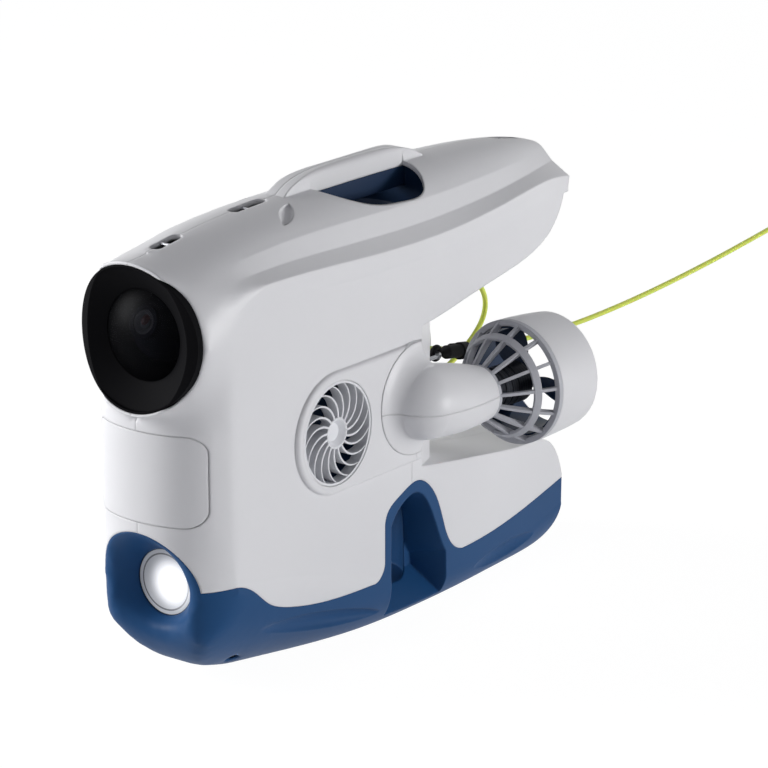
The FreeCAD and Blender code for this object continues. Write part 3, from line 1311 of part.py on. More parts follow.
def grip_clamps():
    """Two bands that bind the tether to the grip."""
    bands = []
    for y in GRIP_CLAMP_Y:
        a = grip_line(y)
        b = grip_line(y + 9.0)
        side = V(-GRIP_R - TETHER_R - CORD_GAP, 0, 0)
        cord_room = TETHER_R + 3 * CORD_GAP
        past = (b - a).normalize() * 1.0
        round_grip = cylinder(GRIP_R + CLAMP_WALL, a, b)
        round_cord = cylinder(cord_room + CLAMP_WALL, a + side, b + side)
        hollow = cylinder(GRIP_R, a - past, b + past)
        hollow = hollow.fuse(cylinder(cord_room, a + side - past, b + side + past))
        bands.append(round_grip.fuse(round_cord).cut(hollow))
    return Part.makeCompound(bands)


def tether_gland():
    """The gland in the fin's underside, with the nut that grips the tether."""
    top = V(0, GLAND_Y, GLAND_Z + GLAND_BODY)
    nut_foot = V(0, GLAND_Y, GLAND_Z - 9.0)
    body = cylinder(GLAND_R, V(0, GLAND_Y, GLAND_Z), top)
    nut = cone(GLAND_R - 1.0, GLAND_R + 2.0, nut_foot, V(0, GLAND_Y, GLAND_Z - 3.0))
    flange = cylinder(GLAND_R + 2.0, V(0, GLAND_Y, GLAND_Z - 3.0), V(0, GLAND_Y, GLAND_Z - 2.5))
    bore = cylinder(TETHER_R + CORD_GAP, nut_foot - V(0, 0, 1), nut_foot + V(0, 0, TETHER_SOCKET))
    return body.fuse([nut, flange]).cut(bore)


def tether_route():
    """Corners of the tether: out of the gland, round aft and forward past the hook,
    back along the grip and away aft under a light pull."""
    foot = GLAND_Z - 9.0 + TETHER_SOCKET
    side = -GRIP_R - TETHER_R - CORD_GAP
    return [
        V(0, GLAND_Y, foot), V(0, GLAND_Y, 228.0), V(-4.0, 191.0, 203.0), V(-13.0, 196.0, 177.0),
        V(-14.0, 161.0, 156.0), V(-12.5, 127.0, 149.0), V(-11.5, 92.0, 149.5), V(-11.0, 92.5, 178.0),
        V(-10.0, 128.0, 175.5), V(side, grip_line(140.0).y, grip_line(140.0).z),
        V(side - 0.3, 182.0, grip_line(182.0).z), V(side + 0.1, 222.0, grip_line(218.0).z),
        V(-5.0, 256.0, 155.2), V(-3.5, 301.0, 153.6), V(-2.0, 349.0, 154.2),
        V(-1.0, 404.0, 156.4), V(-0.5, 458.0, 159.8), V(0.5, 511.0, 164.4), V(1.0, 561.0, 169.4),
        V(1.5, TETHER_END_Y, 174.6),
    ]


def tether():
    """The tether as straight runs joined by tangent arcs."""
    corners = tether_route()
    edges = []
    radii = []
    start = corners[0]
    for before, corner, after in zip(corners, corners[1:], corners[2:]):
        into = (corner - before).normalize()
        out = (after - corner).normalize()
        turn = into.getAngle(out)
        reach = 0.45 * min((corner - before).Length, (after - corner).Length)
        radii.append(reach / math.tan(turn / 2))
        a = corner - into * reach
        b = corner + out * reach
        bisect = (out - into).normalize()
        middle = corner + bisect * (radii[-1] * (1.0 / math.cos(turn / 2) - 1.0))
        edges.append(Part.LineSegment(start, a).toShape())
        edges.append(Part.Arc(a, middle, b).toShape())
        start = b
    edges.append(Part.LineSegment(start, corners[-1]).toShape())
    path = Part.Wire(edges)
    section = Part.Wire([Part.Circle(corners[0], corners[1] - corners[0], TETHER_R).toShape()])
    tube = path.makePipeShell([section], True, False)
    print("tether bend radii", [round(r, 1) for r in radii])
    print("tether length", round(path.Length, 1), "volume ratio",
          round(tube.Volume / (path.Length * math.pi * TETHER_R ** 2), 4))
    return tube


def tether_plug():
    """The sealed plug at the tether's far end, with its strain relief."""
    corners = tether_route()
    axis = (corners[-1] - corners[-2]).normalize()
    end = corners[-1]
    relief = cone(TETHER_R + 1.2, PLUG_R - 1.5, end, end + axis * 18.0)
    body = cylinder(PLUG_R, end + axis * 18.0, end + axis * 46.0)
    sleeve = cylinder(PLUG_R + 2.0, end + axis * 24.0, end + axis * 38.0)
    socket = cylinder(PLUG_R - 2.5, end + axis * 40.0, end + axis * 47.0)
    return relief.fuse([body, sleeve]).cut(socket)


def lift_pins():
    """The steel cross pins in the crown's slots, for lines and clips."""
    pins = []
    for front_y, rear_y, _, _ in CROWN_SLOTS:
        y = 0.5 * (front_y + rear_y)
        z = slot_floor(front_y, rear_y, 0) - PIN_SINK
        pins.append(cylinder(PIN_R, V(-PIN_HALF_LENGTH, y, z), V(PIN_HALF_LENGTH, y, z)))
    return pins


def buoyancy_foam():
    """The float block that fills the upper fin."""
    block = hull_form(WALL + 1.0).common(box(V(-80, FOAM_FRONT_Y, 200), V(80, TAIL_Y - 18.0, 400)))
    block = block.cut(cylinder(GLAND_R + 3.0, V(0, GLAND_Y, 200), V(0, GLAND_Y, GLAND_Z + GLAND_BODY + 4.0)))
    for front_y, rear_y, width, depth in CROWN_SLOTS:
        block = block.cut(crown_slot(front_y - 2.0, rear_y + 2.0, width + 4.0, depth + 3.0))
    return block


def keel_screws():
    """Four cap screws up through the keel into the hull."""
    screws = []
    for x, y in KEEL_SCREWS:
        for sx in (-1, 1):
            seat = V(sx * x, y, KEEL_SCREW_SINK)
            head = cylinder(SCREW_HEAD_R, seat, seat + V(0, 0, 4.0))
            socket = cylinder(0.5 * SCREW_HEAD_R, seat - V(0, 0, 1), seat + V(0, 0, 2.2))
            screws.append(head.fuse(cylinder(SCREW_R, seat + V(0, 0, 4.0), seat + V(0, 0, 20.0))).cut(socket))
    return screws


# ---- assembly ----

def assemble():
    """Every piece by its name."""
    parts = hull_pieces()
    upper, lower = arm_halves()
    parts["port_arm_upper"] = upper
    parts["port_arm_lower"] = lower
    cage = guard()
    mouth = thrust_point(DUCT_LENGTH)
    axis = thrust_axis() * -1.0
    parts["port_guard"] = place(cage, mouth, axis)
    parts["starboard_guard"] = place(cage, mirrored(mouth), mirrored(axis))
    parts["port_duct"] = duct()
    parts["port_duct_liner"] = duct_liner()
    parts.update(rear_thruster("port"))
    parts["port_grille"] = side_grille(HALF_WIDTH + BOSS_HEIGHT - GRILLE_PROUD)
    for name in ("arm_upper", "arm_lower", "duct", "duct_liner", "motor", "propeller", "grille"):
        parts["starboard_" + name] = mirror_x(parts["port_" + name])
    parts["camera_hood"] = camera_hood()
    parts["dome_window"] = dome_window()
    parts["camera_pod"] = camera_pod()
    parts["camera_lens"] = camera_lens()
    parts["camera_cradle"] = camera_cradle()
    parts["tilt_servo"] = tilt_servo()
    parts["electronics_tube"] = electronics_tube()
    parts["tube_rear_cap"] = tube_rear_cap()
    parts["tube_cap_bolts"] = tube_cap_bolts()
    parts["electronics_boards"] = electronics_boards()
    parts["battery_can"] = battery_can()
    parts["battery_cap"] = battery_cap()
    parts.update(lamp_pieces())
    parts["ballast_bars"] = ballast_bars()
    parts["accessory_inserts"] = keel_inserts()
    parts["keel_screws"] = Part.makeCompound(keel_screws())
    parts["lateral_tunnel"] = lateral_tunnel()
    parts.update(tunnel_thruster("lateral", V(0, LATERAL_Y, LATERAL_Z), X_AXIS, TUNNEL_R))
    parts.update(tunnel_thruster("vertical", V(0, VERTICAL_Y, VERTICAL_MOTOR_Z), Z_AXIS, VERTICAL_R))
    parts["intake_liner"] = intake_liner()
    parts["buoyancy_foam"] = buoyancy_foam()
    parts["lift_pins"] = Part.makeCompound(lift_pins())
    parts["tow_eye"] = tow_eye()
    parts["snap_hook"] = snap_hook()
    parts["hook_gate"] = hook_gate()
    parts["braided_grip"] = braided_grip()
    parts["grip_clamps"] = grip_clamps()
    parts["tether_gland"] = tether_gland()
    parts["tether"] = tether()
    parts["tether_plug"] = tether_plug()
    return parts


os.makedirs("parts", exist_ok=True)
for node, shape in assemble().items():
    shape.exportStep("parts/" + node + ".step")
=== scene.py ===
"""Underwater inspection vehicle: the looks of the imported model.

Metres, in the model's own frame: the front faces -Y, port is +X, +Z is up.
"""
import bmesh
import bpy
import math
import numpy as np
from mathutils import Matrix
from mathutils.bvhtree import BVHTree


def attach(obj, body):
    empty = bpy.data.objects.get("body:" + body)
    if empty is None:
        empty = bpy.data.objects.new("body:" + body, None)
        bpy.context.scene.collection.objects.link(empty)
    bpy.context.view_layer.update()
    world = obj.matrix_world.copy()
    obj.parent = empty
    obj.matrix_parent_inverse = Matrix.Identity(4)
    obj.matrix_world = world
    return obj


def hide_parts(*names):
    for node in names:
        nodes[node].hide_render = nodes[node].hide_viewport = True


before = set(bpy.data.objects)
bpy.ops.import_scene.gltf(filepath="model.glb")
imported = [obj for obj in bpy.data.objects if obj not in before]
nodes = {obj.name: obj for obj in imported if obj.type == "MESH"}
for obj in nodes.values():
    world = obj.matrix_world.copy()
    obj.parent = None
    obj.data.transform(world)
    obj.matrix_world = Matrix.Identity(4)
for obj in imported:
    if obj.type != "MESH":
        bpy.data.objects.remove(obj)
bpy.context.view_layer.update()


# ---------------------------------------------------------------- studio
# A pale sweep on the studio floor inside a dim white tent, with one soft box off the
# starboard bow and one low off the port quarter, so that the bow and the side are bright and
# the cheek between them falls off. The camera is 3 m off on a long lens.
def hex_colour(code):
    """The linear colour of an sRGB hex code: each channel through the sRGB curve."""
    parts = [int(code[i:i + 2], 16) / 255.0 for i in (0, 2, 4)]
    return tuple(c / 12.92 if c <= 0.04045 else ((c + 0.055) / 1.055) ** 2.4 for c in parts) + (1.0,)


def add(tree, kind, sockets=None, **settings):
    """Adds one node. Settings are its own, and sockets go from a name or number to a value,
    or to another node's output that is linked in."""
    node = tree.nodes.new(kind)
    for name, value in settings.items():
        setattr(node, name, value)
    for name, value in (sockets or {}).items():
        if isinstance(value, bpy.types.NodeSocket):
            tree.links.new(value, node.inputs[name])
        else:
            node.inputs[name].default_value = value
    return node


def new_finish(name, **sockets):
    """A material with one Principled shader. Returns it, its tree and the shader."""
    finish = bpy.data.materials.new(name)
    finish.use_nodes = True
    tree = finish.node_tree
    tree.nodes.clear()
    shader = add(tree, "ShaderNodeBsdfPrincipled",
                 {key.replace("_", " "): value for key, value in sockets.items()})
    add(tree, "ShaderNodeOutputMaterial", {"Surface": shader.outputs[0]})
    return finish, tree, shader


def seen_white(tree, plain, white):
    """A mix that shows white to the camera and in gloss and glass, and the plain shader to
    everything else: the largest of the three light path flags is the factor."""
    path = add(tree, "ShaderNodeLightPath")
    gloss = add(tree, "ShaderNodeMath", {0: path.outputs["Is Glossy Ray"],
                                         1: path.outputs["Is Transmission Ray"]}, operation="MAXIMUM")
    flag = add(tree, "ShaderNodeMath", {0: path.outputs["Is Camera Ray"], 1: gloss.outputs[0]},
               operation="MAXIMUM")
    return add(tree, "ShaderNodeMixShader", {0: flag.outputs[0], 1: plain, 2: white}).outputs[0]


def two_tones(tree, factor, first, second):
    """The colour between two close tones, by a factor from a texture."""
    return add(tree, "ShaderNodeMixRGB", {"Fac": factor, "Color1": hex_colour(first),
                                          "Color2": hex_colour(second)}).outputs[0]


def placed(name, data):
    """A new object for some mesh, curve, lamp or camera, linked into the scene."""
    holder = bpy.data.objects.new(name, data)
    scene.collection.objects.link(holder)
    return holder


scene = bpy.context.scene
scene.view_settings.view_transform = "Standard"

# The tent gives TENT_LOW from level with the part and TENT_HIGH from overhead.
PAPER_WHITE = (1.0, 1.0, 1.0, 1.0)
TENT_LOW, TENT_HIGH = 0.30, 0.10
tent = bpy.data.worlds.new("white_tent")
scene.world = tent
tent.use_nodes = True
tent.node_tree.nodes.clear()
tent_way = add(tent.node_tree, "ShaderNodeSeparateXYZ",
               {"Vector": add(tent.node_tree, "ShaderNodeTexCoord").outputs["Generated"]})
tent_level = add(tent.node_tree, "ShaderNodeMapRange",
                 {"Value": tent_way.outputs["Z"], "From Min": 0.0, "From Max": 1.0,
                  "To Min": TENT_LOW, "To Max": TENT_HIGH})
tent_light = add(tent.node_tree, "ShaderNodeBackground", {"Color": hex_colour("F6F7FF"),
                                                          "Strength": tent_level.outputs[0]})
tent_seen = add(tent.node_tree, "ShaderNodeBackground", {"Color": PAPER_WHITE, "Strength": 1.0})
tent_both = seen_white(tent.node_tree, tent_light.outputs[0], tent_seen.outputs[0])
add(tent.node_tree, "ShaderNodeOutputWorld", {"Surface": tent_both})

FLOOR_HALF, FLOOR_Z = 6.0, -0.0005
floor_mesh = bpy.data.meshes.new("studio_floor")
floor_mesh.from_pydata([(x * FLOOR_HALF, y * FLOOR_HALF, FLOOR_Z)
                        for x, y in ((-1, -1), (1, -1), (1, 1), (-1, 1))], [], [(0, 1, 2, 3)])
floor = placed("studio_floor", floor_mesh)

# Matt white vinyl sweep: bright enough to go to paper white. SWEEP_GLOW of what is seen is plain
# white, a little over full, and the rest is the lit surface with its shadow.
SWEEP_GLOW, SWEEP_LEVEL = 0.9, 1.08
sweep = bpy.data.materials.new("vinyl_sweep_matt")
sweep.use_nodes = True
sweep_tree = sweep.node_tree
sweep_tree.nodes.clear()
sweep_mottle = add(sweep_tree, "ShaderNodeTexNoise",
                   {"Vector": add(sweep_tree, "ShaderNodeTexCoord").outputs["Object"], "Scale": 3.0})
sweep_tone = two_tones(sweep_tree, sweep_mottle.outputs["Fac"], "F8F8F9", "FDFDFE")
sweep_matt = add(sweep_tree, "ShaderNodeBsdfDiffuse", {"Color": sweep_tone})
sweep_glow = add(sweep_tree, "ShaderNodeEmission", {"Color": PAPER_WHITE, "Strength": SWEEP_LEVEL})
sweep_kept = add(sweep_tree, "ShaderNodeMixShader", {0: SWEEP_GLOW, 1: sweep_matt.outputs[0],
                                                     2: sweep_glow.outputs[0]})
sweep_both = seen_white(sweep_tree, sweep_matt.outputs[0], sweep_kept.outputs[0])
add(sweep_tree, "ShaderNodeOutputMaterial", {"Surface": sweep_both})
floor_mesh.materials.append(sweep)


def soft_box(name, place, aim, size, watts):
    """A square soft box at a place, turned so that its face looks at the aim point."""
    lamp = bpy.data.lights.new(name, "AREA")
    lamp.size = size
    lamp.energy = watts
    holder = placed(name, lamp)
    away = np.array(place) - np.array(aim)
    away = away / np.linalg.norm(away)
    side = np.cross((0.0, 0.0, 1.0), away)
    side = side / np.linalg.norm(side)
    turn = np.eye(4)
    turn[:3, 0], turn[:3, 1], turn[:3, 2], turn[:3, 3] = side, np.cross(away, side), away, place
    holder.matrix_world = Matrix(turn.tolist())


soft_box("starboard_box", (-2.05, -1.40, 0.95), (0.0, -0.05, 0.2), 1.3, 60.0)
soft_box("port_box", (2.35, 0.85, 0.10), (0.0, 0.05, 0.15), 0.8, 48.0)

AZIMUTH, ELEVATION = math.radians(37.488), math.radians(17.056)
CAMERA_AT = (1.78296, -2.27300, 1.06489)
right = np.array((math.cos(AZIMUTH), math.sin(AZIMUTH), 0.0))
back = np.array((math.sin(AZIMUTH) * math.cos(ELEVATION), -math.cos(AZIMUTH) * math.cos(ELEVATION),
                 math.sin(ELEVATION)))
camera_turn = np.eye(4)
camera_turn[:3, 0], camera_turn[:3, 1], camera_turn[:3, 2] = right, np.cross(back, right), back
camera_turn[:3, 3] = CAMERA_AT
camera_data = bpy.data.cameras.new("camera")
camera_data.sensor_width = 36.0
camera_data.lens = 187.5
camera = placed("camera", camera_data)
camera.matrix_world = Matrix(camera_turn.tolist())
scene.camera = camera


# ---------------------------------------------------------------- tether
# A 4.2 mm neutrally buoyant data cable, aramid braid under a foamed yellow-green jacket. It
# comes down out of the gland, is tied along the rope grip, and trails away aft to its plug.
TETHER_RADIUS = 0.0021
TETHER_POINTS = np.array((
    (0.0, 166.0, 245.0), (0.0, 166.0, 228.0), (-4.0, 191.0, 203.0), (-13.0, 196.0, 177.0),
    (-14.0, 161.0, 156.0), (-12.5, 127.0, 149.0), (-11.5, 92.0, 149.5), (-11.0, 92.5, 178.0),
    (-10.0, 128.0, 175.5), (-7.8, 140.0, 171.2), (-8.1, 182.0, 163.9), (-7.7, 222.0, 157.7),
    (-5.0, 256.0, 155.2), (-3.5, 301.0, 153.6), (-2.0, 349.0, 154.2), (-1.0, 404.0, 156.4),
    (-0.5, 458.0, 159.8), (0.5, 511.0, 164.4), (1.0, 561.0, 169.4), (1.5, 608.0, 174.6))) / 1000.0

tether_curve = bpy.data.curves.new("tether_jacket", "CURVE")
tether_curve.dimensions = "3D"
tether_curve.bevel_depth = 1.0
tether_curve.bevel_resolution = 5
tether_curve.resolution_u = 16
tether_curve.use_fill_caps = True
tether_line = tether_curve.splines.new("NURBS")
tether_line.points.add(len(TETHER_POINTS) - 1)
tether_line.points.foreach_set("co", np.insert(TETHER_POINTS, 3, 1.0, axis=1).ravel())
tether_line.points.foreach_set("radius", np.full(len(TETHER_POINTS), TETHER_RADIUS))
tether_line.order_u = 3
tether_line.use_endpoint_u = True
tether_jacket = placed("tether_jacket", tether_curve)
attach(tether_jacket, "hull")
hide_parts("tether")

# Extruded thermoplastic jacket: satin and slightly cloudy.
jacket, jacket_tree, jacket_shader = new_finish("polyurethane_jacket_extruded", Roughness=0.42,
                                                Specular_IOR_Level=0.45, Subsurface_Weight=0.15,
                                                Subsurface_Scale=0.002)
jacket_place = add(jacket_tree, "ShaderNodeTexCoord").outputs["Object"]
jacket_cloud = add(jacket_tree, "ShaderNodeTexNoise",
                   {"Vector": jacket_place, "Scale": 120.0, "Detail": 3.0})
jacket_tone = two_tones(jacket_tree, jacket_cloud.outputs["Fac"], "D6E64C", "E4F06C")
jacket_tree.links.new(jacket_tone, jacket_shader.inputs["Base Color"])
tether_curve.materials.append(jacket)


def dress(finish, *names):
    """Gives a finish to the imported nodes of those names."""
    for name in names:
        nodes[name].data.materials.clear()
        nodes[name].data.materials.append(finish)


# ---------------------------------------------------------------- tether plug
# A moulded neoprene plug with a tapered relief and a locking sleeve, on the tether's free end.
plug_rubber, plug_tree, plug_shader = new_finish("neoprene_moulded", Roughness=0.55)
plug_place = add(plug_tree, "ShaderNodeTexCoord").outputs["Object"]
plug_speck = add(plug_tree, "ShaderNodeTexNoise", {"Vector": plug_place, "Scale": 300.0, "Detail": 2.0})
plug_tone = two_tones(plug_tree, plug_speck.outputs["Fac"], "17181A", "222428")
plug_tree.links.new(plug_tone, plug_shader.inputs["Base Color"])
plug_bump = add(plug_tree, "ShaderNodeBump", {"Height": plug_speck.outputs["Fac"], "Strength": 0.3,
                                              "Distance": 0.0002})
plug_tree.links.new(plug_bump.outputs[0], plug_shader.inputs["Normal"])
dress(plug_rubber, "tether_plug")


# ---------------------------------------------------------------- white hull shells
# Two halves and two lower fins of injection-moulded ABS, pale grey-white, with a fine spark
# grain from the mould and softened edges. They meet on a thin seam along the crown.
def moulded(name, light, dark, roughness, gloss, grain_mm, edge_mm):
    """A moulded plastic: two close tones in a slow cloud, a spark grain of the given size as
    bump, and edges rounded in the shading by the given radius."""
    finish, tree, shader = new_finish(name, Roughness=roughness, Specular_IOR_Level=gloss)
    place = add(tree, "ShaderNodeTexCoord").outputs["Object"]
    cloud = add(tree, "ShaderNodeTexNoise", {"Vector": place, "Scale": 9.0, "Detail": 2.0})
    tree.links.new(two_tones(tree, cloud.outputs["Fac"], dark, light), shader.inputs["Base Color"])
    grain = add(tree, "ShaderNodeTexNoise",
                {"Vector": place, "Scale": 500.0 / grain_mm, "Detail": 2.0})
    edge = add(tree, "ShaderNodeBevel", {"Radius": edge_mm / 1000.0}, samples=6)
    bump = add(tree, "ShaderNodeBump", {"Height": grain.outputs["Fac"], "Strength": 0.12,
                                        "Distance": 0.0001, "Normal": edge.outputs[0]})
    tree.links.new(bump.outputs[0], shader.inputs["Normal"])
    return finish


# Grain of 1.2 mm: the real one is near 0.3 mm and would not show at this distance.
shell_abs = moulded("abs_white_moulded", "EAEAEC", "E4E4E7", 0.42, 0.5, 1.2, 2.2)
dress(shell_abs, "port_shell", "starboard_shell", "port_fin_shell", "starboard_fin_shell",
      "front_cover", "port_arm_upper", "port_arm_lower", "starboard_arm_upper",
      "starboard_arm_lower", "port_duct", "starboard_duct")


def fine_copy(name, node, mask, edge_mm):
    """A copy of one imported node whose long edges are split, where the mask is not nought, until
    they are about as short as given, so that those faces can bend. Returns the object."""
    fine = bmesh.new()
    fine.from_mesh(nodes[node].data)
    bmesh.ops.remove_doubles(fine, verts=fine.verts, dist=1e-6)
    for _ in range(8):
        ends = np.array([[v.co[:] for v in edge.verts] for edge in fine.edges]) * 1000.0
        length = np.linalg.norm(ends[:, 0] - ends[:, 1], axis=1)
        steps = np.linspace(0.0, 1.0, 9)[:, None, None]
        along = (ends[:, 0] * (1.0 - steps) + ends[:, 1] * steps).reshape(-1, 3)
        near = mask(along).reshape(9, -1).max(axis=0) > 0.0
        fine.edges.ensure_lookup_table()
        long_ones = [fine.edges[i] for i in np.nonzero(near & (length > edge_mm * 1.5))[0]]
        if not long_ones:
            break
        bmesh.ops.subdivide_edges(fine, edges=long_ones, cuts=1)
        bmesh.ops.triangulate(fine, faces=[face for face in fine.faces if len(face.verts) > 3])
    mesh = bpy.data.meshes.new(name)
    fine.to_mesh(mesh)
    fine.free()
    return placed(name, mesh)


def ramp(values, low, high):
    """A smooth step: 0 below low and 1 above high, 3t^2 - 2t^3 of the way t between them."""
    t = np.clip((values - low) / (high - low), 0.0, 1.0)
    return t * t * (3.0 - 2.0 * t)


def read_rows(items, field, width):
    """One field of a mesh's items as an array with a row for each."""
    flat = np.empty(width * len(items))
    items.foreach_get(field, flat)
    return flat.reshape(-1, width)


def relax(points, pairs, weight, rounds):
    """Eases a surface. In each round every point goes the weighted part of the way to the mean
    of the points that share an edge with it, so a crease rounds off and a flat stays flat."""
    count = np.bincount(pairs.ravel(), minlength=len(points))[:, None]
    a, b = pairs[:, 0], pairs[:, 1]
    for _ in range(rounds):
        total = np.column_stack([np.bincount(a, points[b, k], len(points))
                                 + np.bincount(b, points[a, k], len(points)) for k in range(3)])
        points = points + weight[:, None] * (total / count - points)
    return points


CREASE = math.radians(28.0)


def ease(piece, node, mask, rounds):
    """Relaxes a piece with the weights that the mask gives to its points in mm. Edges sharper
    than CREASE stay hard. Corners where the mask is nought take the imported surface's normal,
    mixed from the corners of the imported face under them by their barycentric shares."""
    mesh = piece.data
    points = read_rows(mesh.vertices, "co", 3) * 1000.0
    weight = mask(points)
    pairs = read_rows(mesh.edges, "vertices", 2).astype(int)
    eased = relax(points, pairs, weight, rounds) / 1000.0
    mesh.vertices.foreach_set("co", eased.ravel())
    mesh.polygons.foreach_set("use_smooth", np.ones(len(mesh.polygons), dtype=bool))
    mesh.set_sharp_from_angle(angle=CREASE)
    mesh.update()
    normals = read_rows(mesh.corner_normals, "vector", 3)
    corner_of = read_rows(mesh.loops, "vertex_index", 1).ravel().astype(int)
    centre = np.repeat(eased[corner_of].reshape(-1, 3, 3).mean(axis=1), 3, axis=0)
    packed = nodes[node].data
    packed.calc_loop_triangles()
    packed_points = read_rows(packed.vertices, "co", 3)
    faces = read_rows(packed.loop_triangles, "vertices", 3).astype(int)
    face_corners = read_rows(packed.loop_triangles, "loops", 3).astype(int)
    packed_normals = read_rows(packed.corner_normals, "vector", 3)
    tree = BVHTree.FromPolygons(packed_points.tolist(), faces.tolist())
    kept = np.nonzero(weight[corner_of] == 0.0)[0]
    asked = 0.97 * eased[corner_of[kept]] + 0.03 * centre[kept]
    found = [tree.find_nearest(place)[2] for place in asked.tolist()]
    a, b, c = (packed_points[faces[found, k]] for k in range(3))
    area = np.cross(b - a, c - a)
    square = np.maximum((area * area).sum(axis=1), 1e-30)
    v = (np.cross(eased[corner_of[kept]] - a, c - a) * area).sum(axis=1) / square
    w = (np.cross(b - a, eased[corner_of[kept]] - a) * area).sum(axis=1) / square
    share = np.clip(np.column_stack((1.0 - v - w, v, w)), 0.0, 1.0)
    mixed = (packed_normals[face_corners[found]] * share[:, :, None]).sum(axis=1)
    normals[kept] = mixed / np.maximum(np.linalg.norm(mixed, axis=1, keepdims=True), 1e-9)
    mesh.normals_split_custom_set(normals.tolist())


# In mm: the front cover's half-width, mid height and half-height, and the lamp's axis and arch.
COVER_HALF_WIDTH, COVER_Z, COVER_HALF_HEIGHT = 49.5, 167.5, 34.0
LAMP_Z, LAMP_ARCH = 79.5, 45.5


def nose_blend(points):
    """Where the snout runs into the cheeks: full at the bow, nothing aft of y = -165, and held
    off the rim, the seam, the slots, the cover and the edge over the keel."""
    s, y, z = np.abs(points[:, 0]), points[:, 1], points[:, 2]
    off_cover = np.maximum(s - COVER_HALF_WIDTH, np.abs(z - COVER_Z) - COVER_HALF_HEIGHT)
    off_lamp = np.hypot(s, z - LAMP_Z) - LAMP_ARCH
    seam = np.where((z > 290.0) & (y > -219.0), ramp(s, 7.0, 14.0), ramp(s, 1.5, 5.0))
    return (0.5 * ramp(-y, 165.0, 200.0) * ramp(y, -240.5, -233.0) * seam
            * ramp(off_cover, 2.0, 7.0) * ramp(off_lamp, 3.0, 9.0) * ramp(z, 88.0, 97.0))


FINE_EDGE, NOSE_ROUNDS = 2.4, 90
for side in ("port", "starboard"):
    skin = fine_copy(side + "_skin", side + "_shell", nose_blend, FINE_EDGE)
    ease(skin, side + "_shell", nose_blend, NOSE_ROUNDS)
    skin.data.materials.append(shell_abs)
    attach(skin, "hull")
    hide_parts(side + "_shell")


# ---------------------------------------------------------------- shoulder vents
# The shallow floor of the lens-shaped recess on each shoulder, in the shells' own plastic. The
# packed shell has an open slot there, and this dish closes it a little way below the surface.
VENT_MID, VENT_HALF, VENT_OUT = np.array((25.0, -97.0)), np.array((8.0, -13.5)), np.array((4.2, 2.5))
VENT_DEPTH, VENT_OVERLAP, VENT_RIM, VENT_MARGIN = 2.4, 1.12, 1.15, 0.12


def vent_floor(name, flip):
    """A shallow dish. Along the vent u and across it v run from -1 to 1, the half-width is that
    of the opening, 1 - u^2 of its middle, and the depth is 1 - 0.7 v^4 of the deepest. The
    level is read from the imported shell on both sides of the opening."""
    u, v = np.meshgrid(np.linspace(-0.98, 0.98, 41), np.linspace(-1.0, 1.0, 17), indexing="ij")
    middle = VENT_MID + u[:, :, None] * VENT_HALF
    across = ((1.0 - u * u) * v * VENT_OVERLAP)[:, :, None] * VENT_OUT
    place = middle + across
    packed = nodes["port_shell"].data
    shell = BVHTree.FromPolygons(read_rows(packed.vertices, "co", 3).tolist(),
                                 [face.vertices[:] for face in packed.polygons])
    line, width = VENT_MID + u[:, :1] * VENT_HALF, (1.0 - u[:, :1] ** 2) * VENT_OUT * VENT_RIM
    rim = np.array([[shell.ray_cast((x / 1000.0, y / 1000.0, 0.5), (0.0, 0.0, -1.0))[0].z * 1000.0
                     for x, y in line + sign * width + sign * VENT_MARGIN * VENT_OUT]
                    for sign in (-1.0, 1.0)])
    level = rim[0][:, None] * (1.0 - v) / 2.0 + rim[1][:, None] * (1.0 + v) / 2.0
    level = level - VENT_DEPTH * (1.0 - 0.7 * v ** 4)
    points = np.column_stack((place.reshape(-1, 2) * (flip, 1.0), level.ravel())) / 1000.0
    rows = np.arange(u.size).reshape(u.shape)
    faces = np.stack((rows[:-1, :-1], rows[1:, :-1], rows[1:, 1:], rows[:-1, 1:]), axis=-1)
    faces = faces.reshape(-1, 4) if flip < 0.0 else faces.reshape(-1, 4)[:, ::-1]
    mesh = bpy.data.meshes.new(name)
    mesh.from_pydata(points.tolist(), [], faces.tolist())
    mesh.polygons.foreach_set("use_smooth", np.ones(len(mesh.polygons), dtype=bool))
    mesh.materials.append(shell_abs)
    piece = placed(name, mesh)
    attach(piece, "hull")


vent_floor("port_vent_floor", 1.0)
vent_floor("starboard_vent_floor", -1.0)


# ---------------------------------------------------------------- keel
# One blue moulding from the lamp round under the hull to the tail, of the same ABS, with a
# matt grain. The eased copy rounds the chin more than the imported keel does.
keel_abs = moulded("abs_blue_moulded", "1E4C7C", "1A4674", 0.5, 0.16, 1.2, 2.2)
dress(keel_abs, "keel_shell")


def bow_rounding(points):
    """The soft lip of the lamp's mouth and the chin under it, held off the lamp's seat and the
    edge that meets the white shells."""
    s, y, z = np.abs(points[:, 0]), points[:, 1], points[:, 2]
    off_axis = np.hypot(s, z - LAMP_Z)
    top = np.where(y < -199.0, 200.0, np.interp(y, (-199.0, -163.0, -138.0), (85.5, 63.0, 53.0)))
    arch_edge = np.where(z > LAMP_Z, ramp(LAMP_ARCH - off_axis, 1.0, 3.0), 1.0)
    return (0.5 * ramp(-y, 150.0, 190.0) * ramp(off_axis, 28.0, 33.0) * arch_edge
            * ramp(top - z, 2.0, 9.0))


CHIN_ROUNDS = 45
keel_skin = fine_copy("keel_skin", "keel_shell", bow_rounding, FINE_EDGE)
ease(keel_skin, "keel_shell", bow_rounding, CHIN_ROUNDS)
keel_skin.data.materials.append(keel_abs)
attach(keel_skin, "hull")
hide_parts("keel_shell")


# ---------------------------------------------------------------- liners
# Navy polypropylene ducts inside the hull: the vertical intake, the tunnel and the duct liners.
liner_plastic = moulded("polypropylene_navy_moulded", "1A3150", "162B47", 0.45, 0.2, 1.2, 1.0)
dress(liner_plastic, "intake_liner", "lateral_tunnel", "port_duct_liner", "starboard_duct_liner")

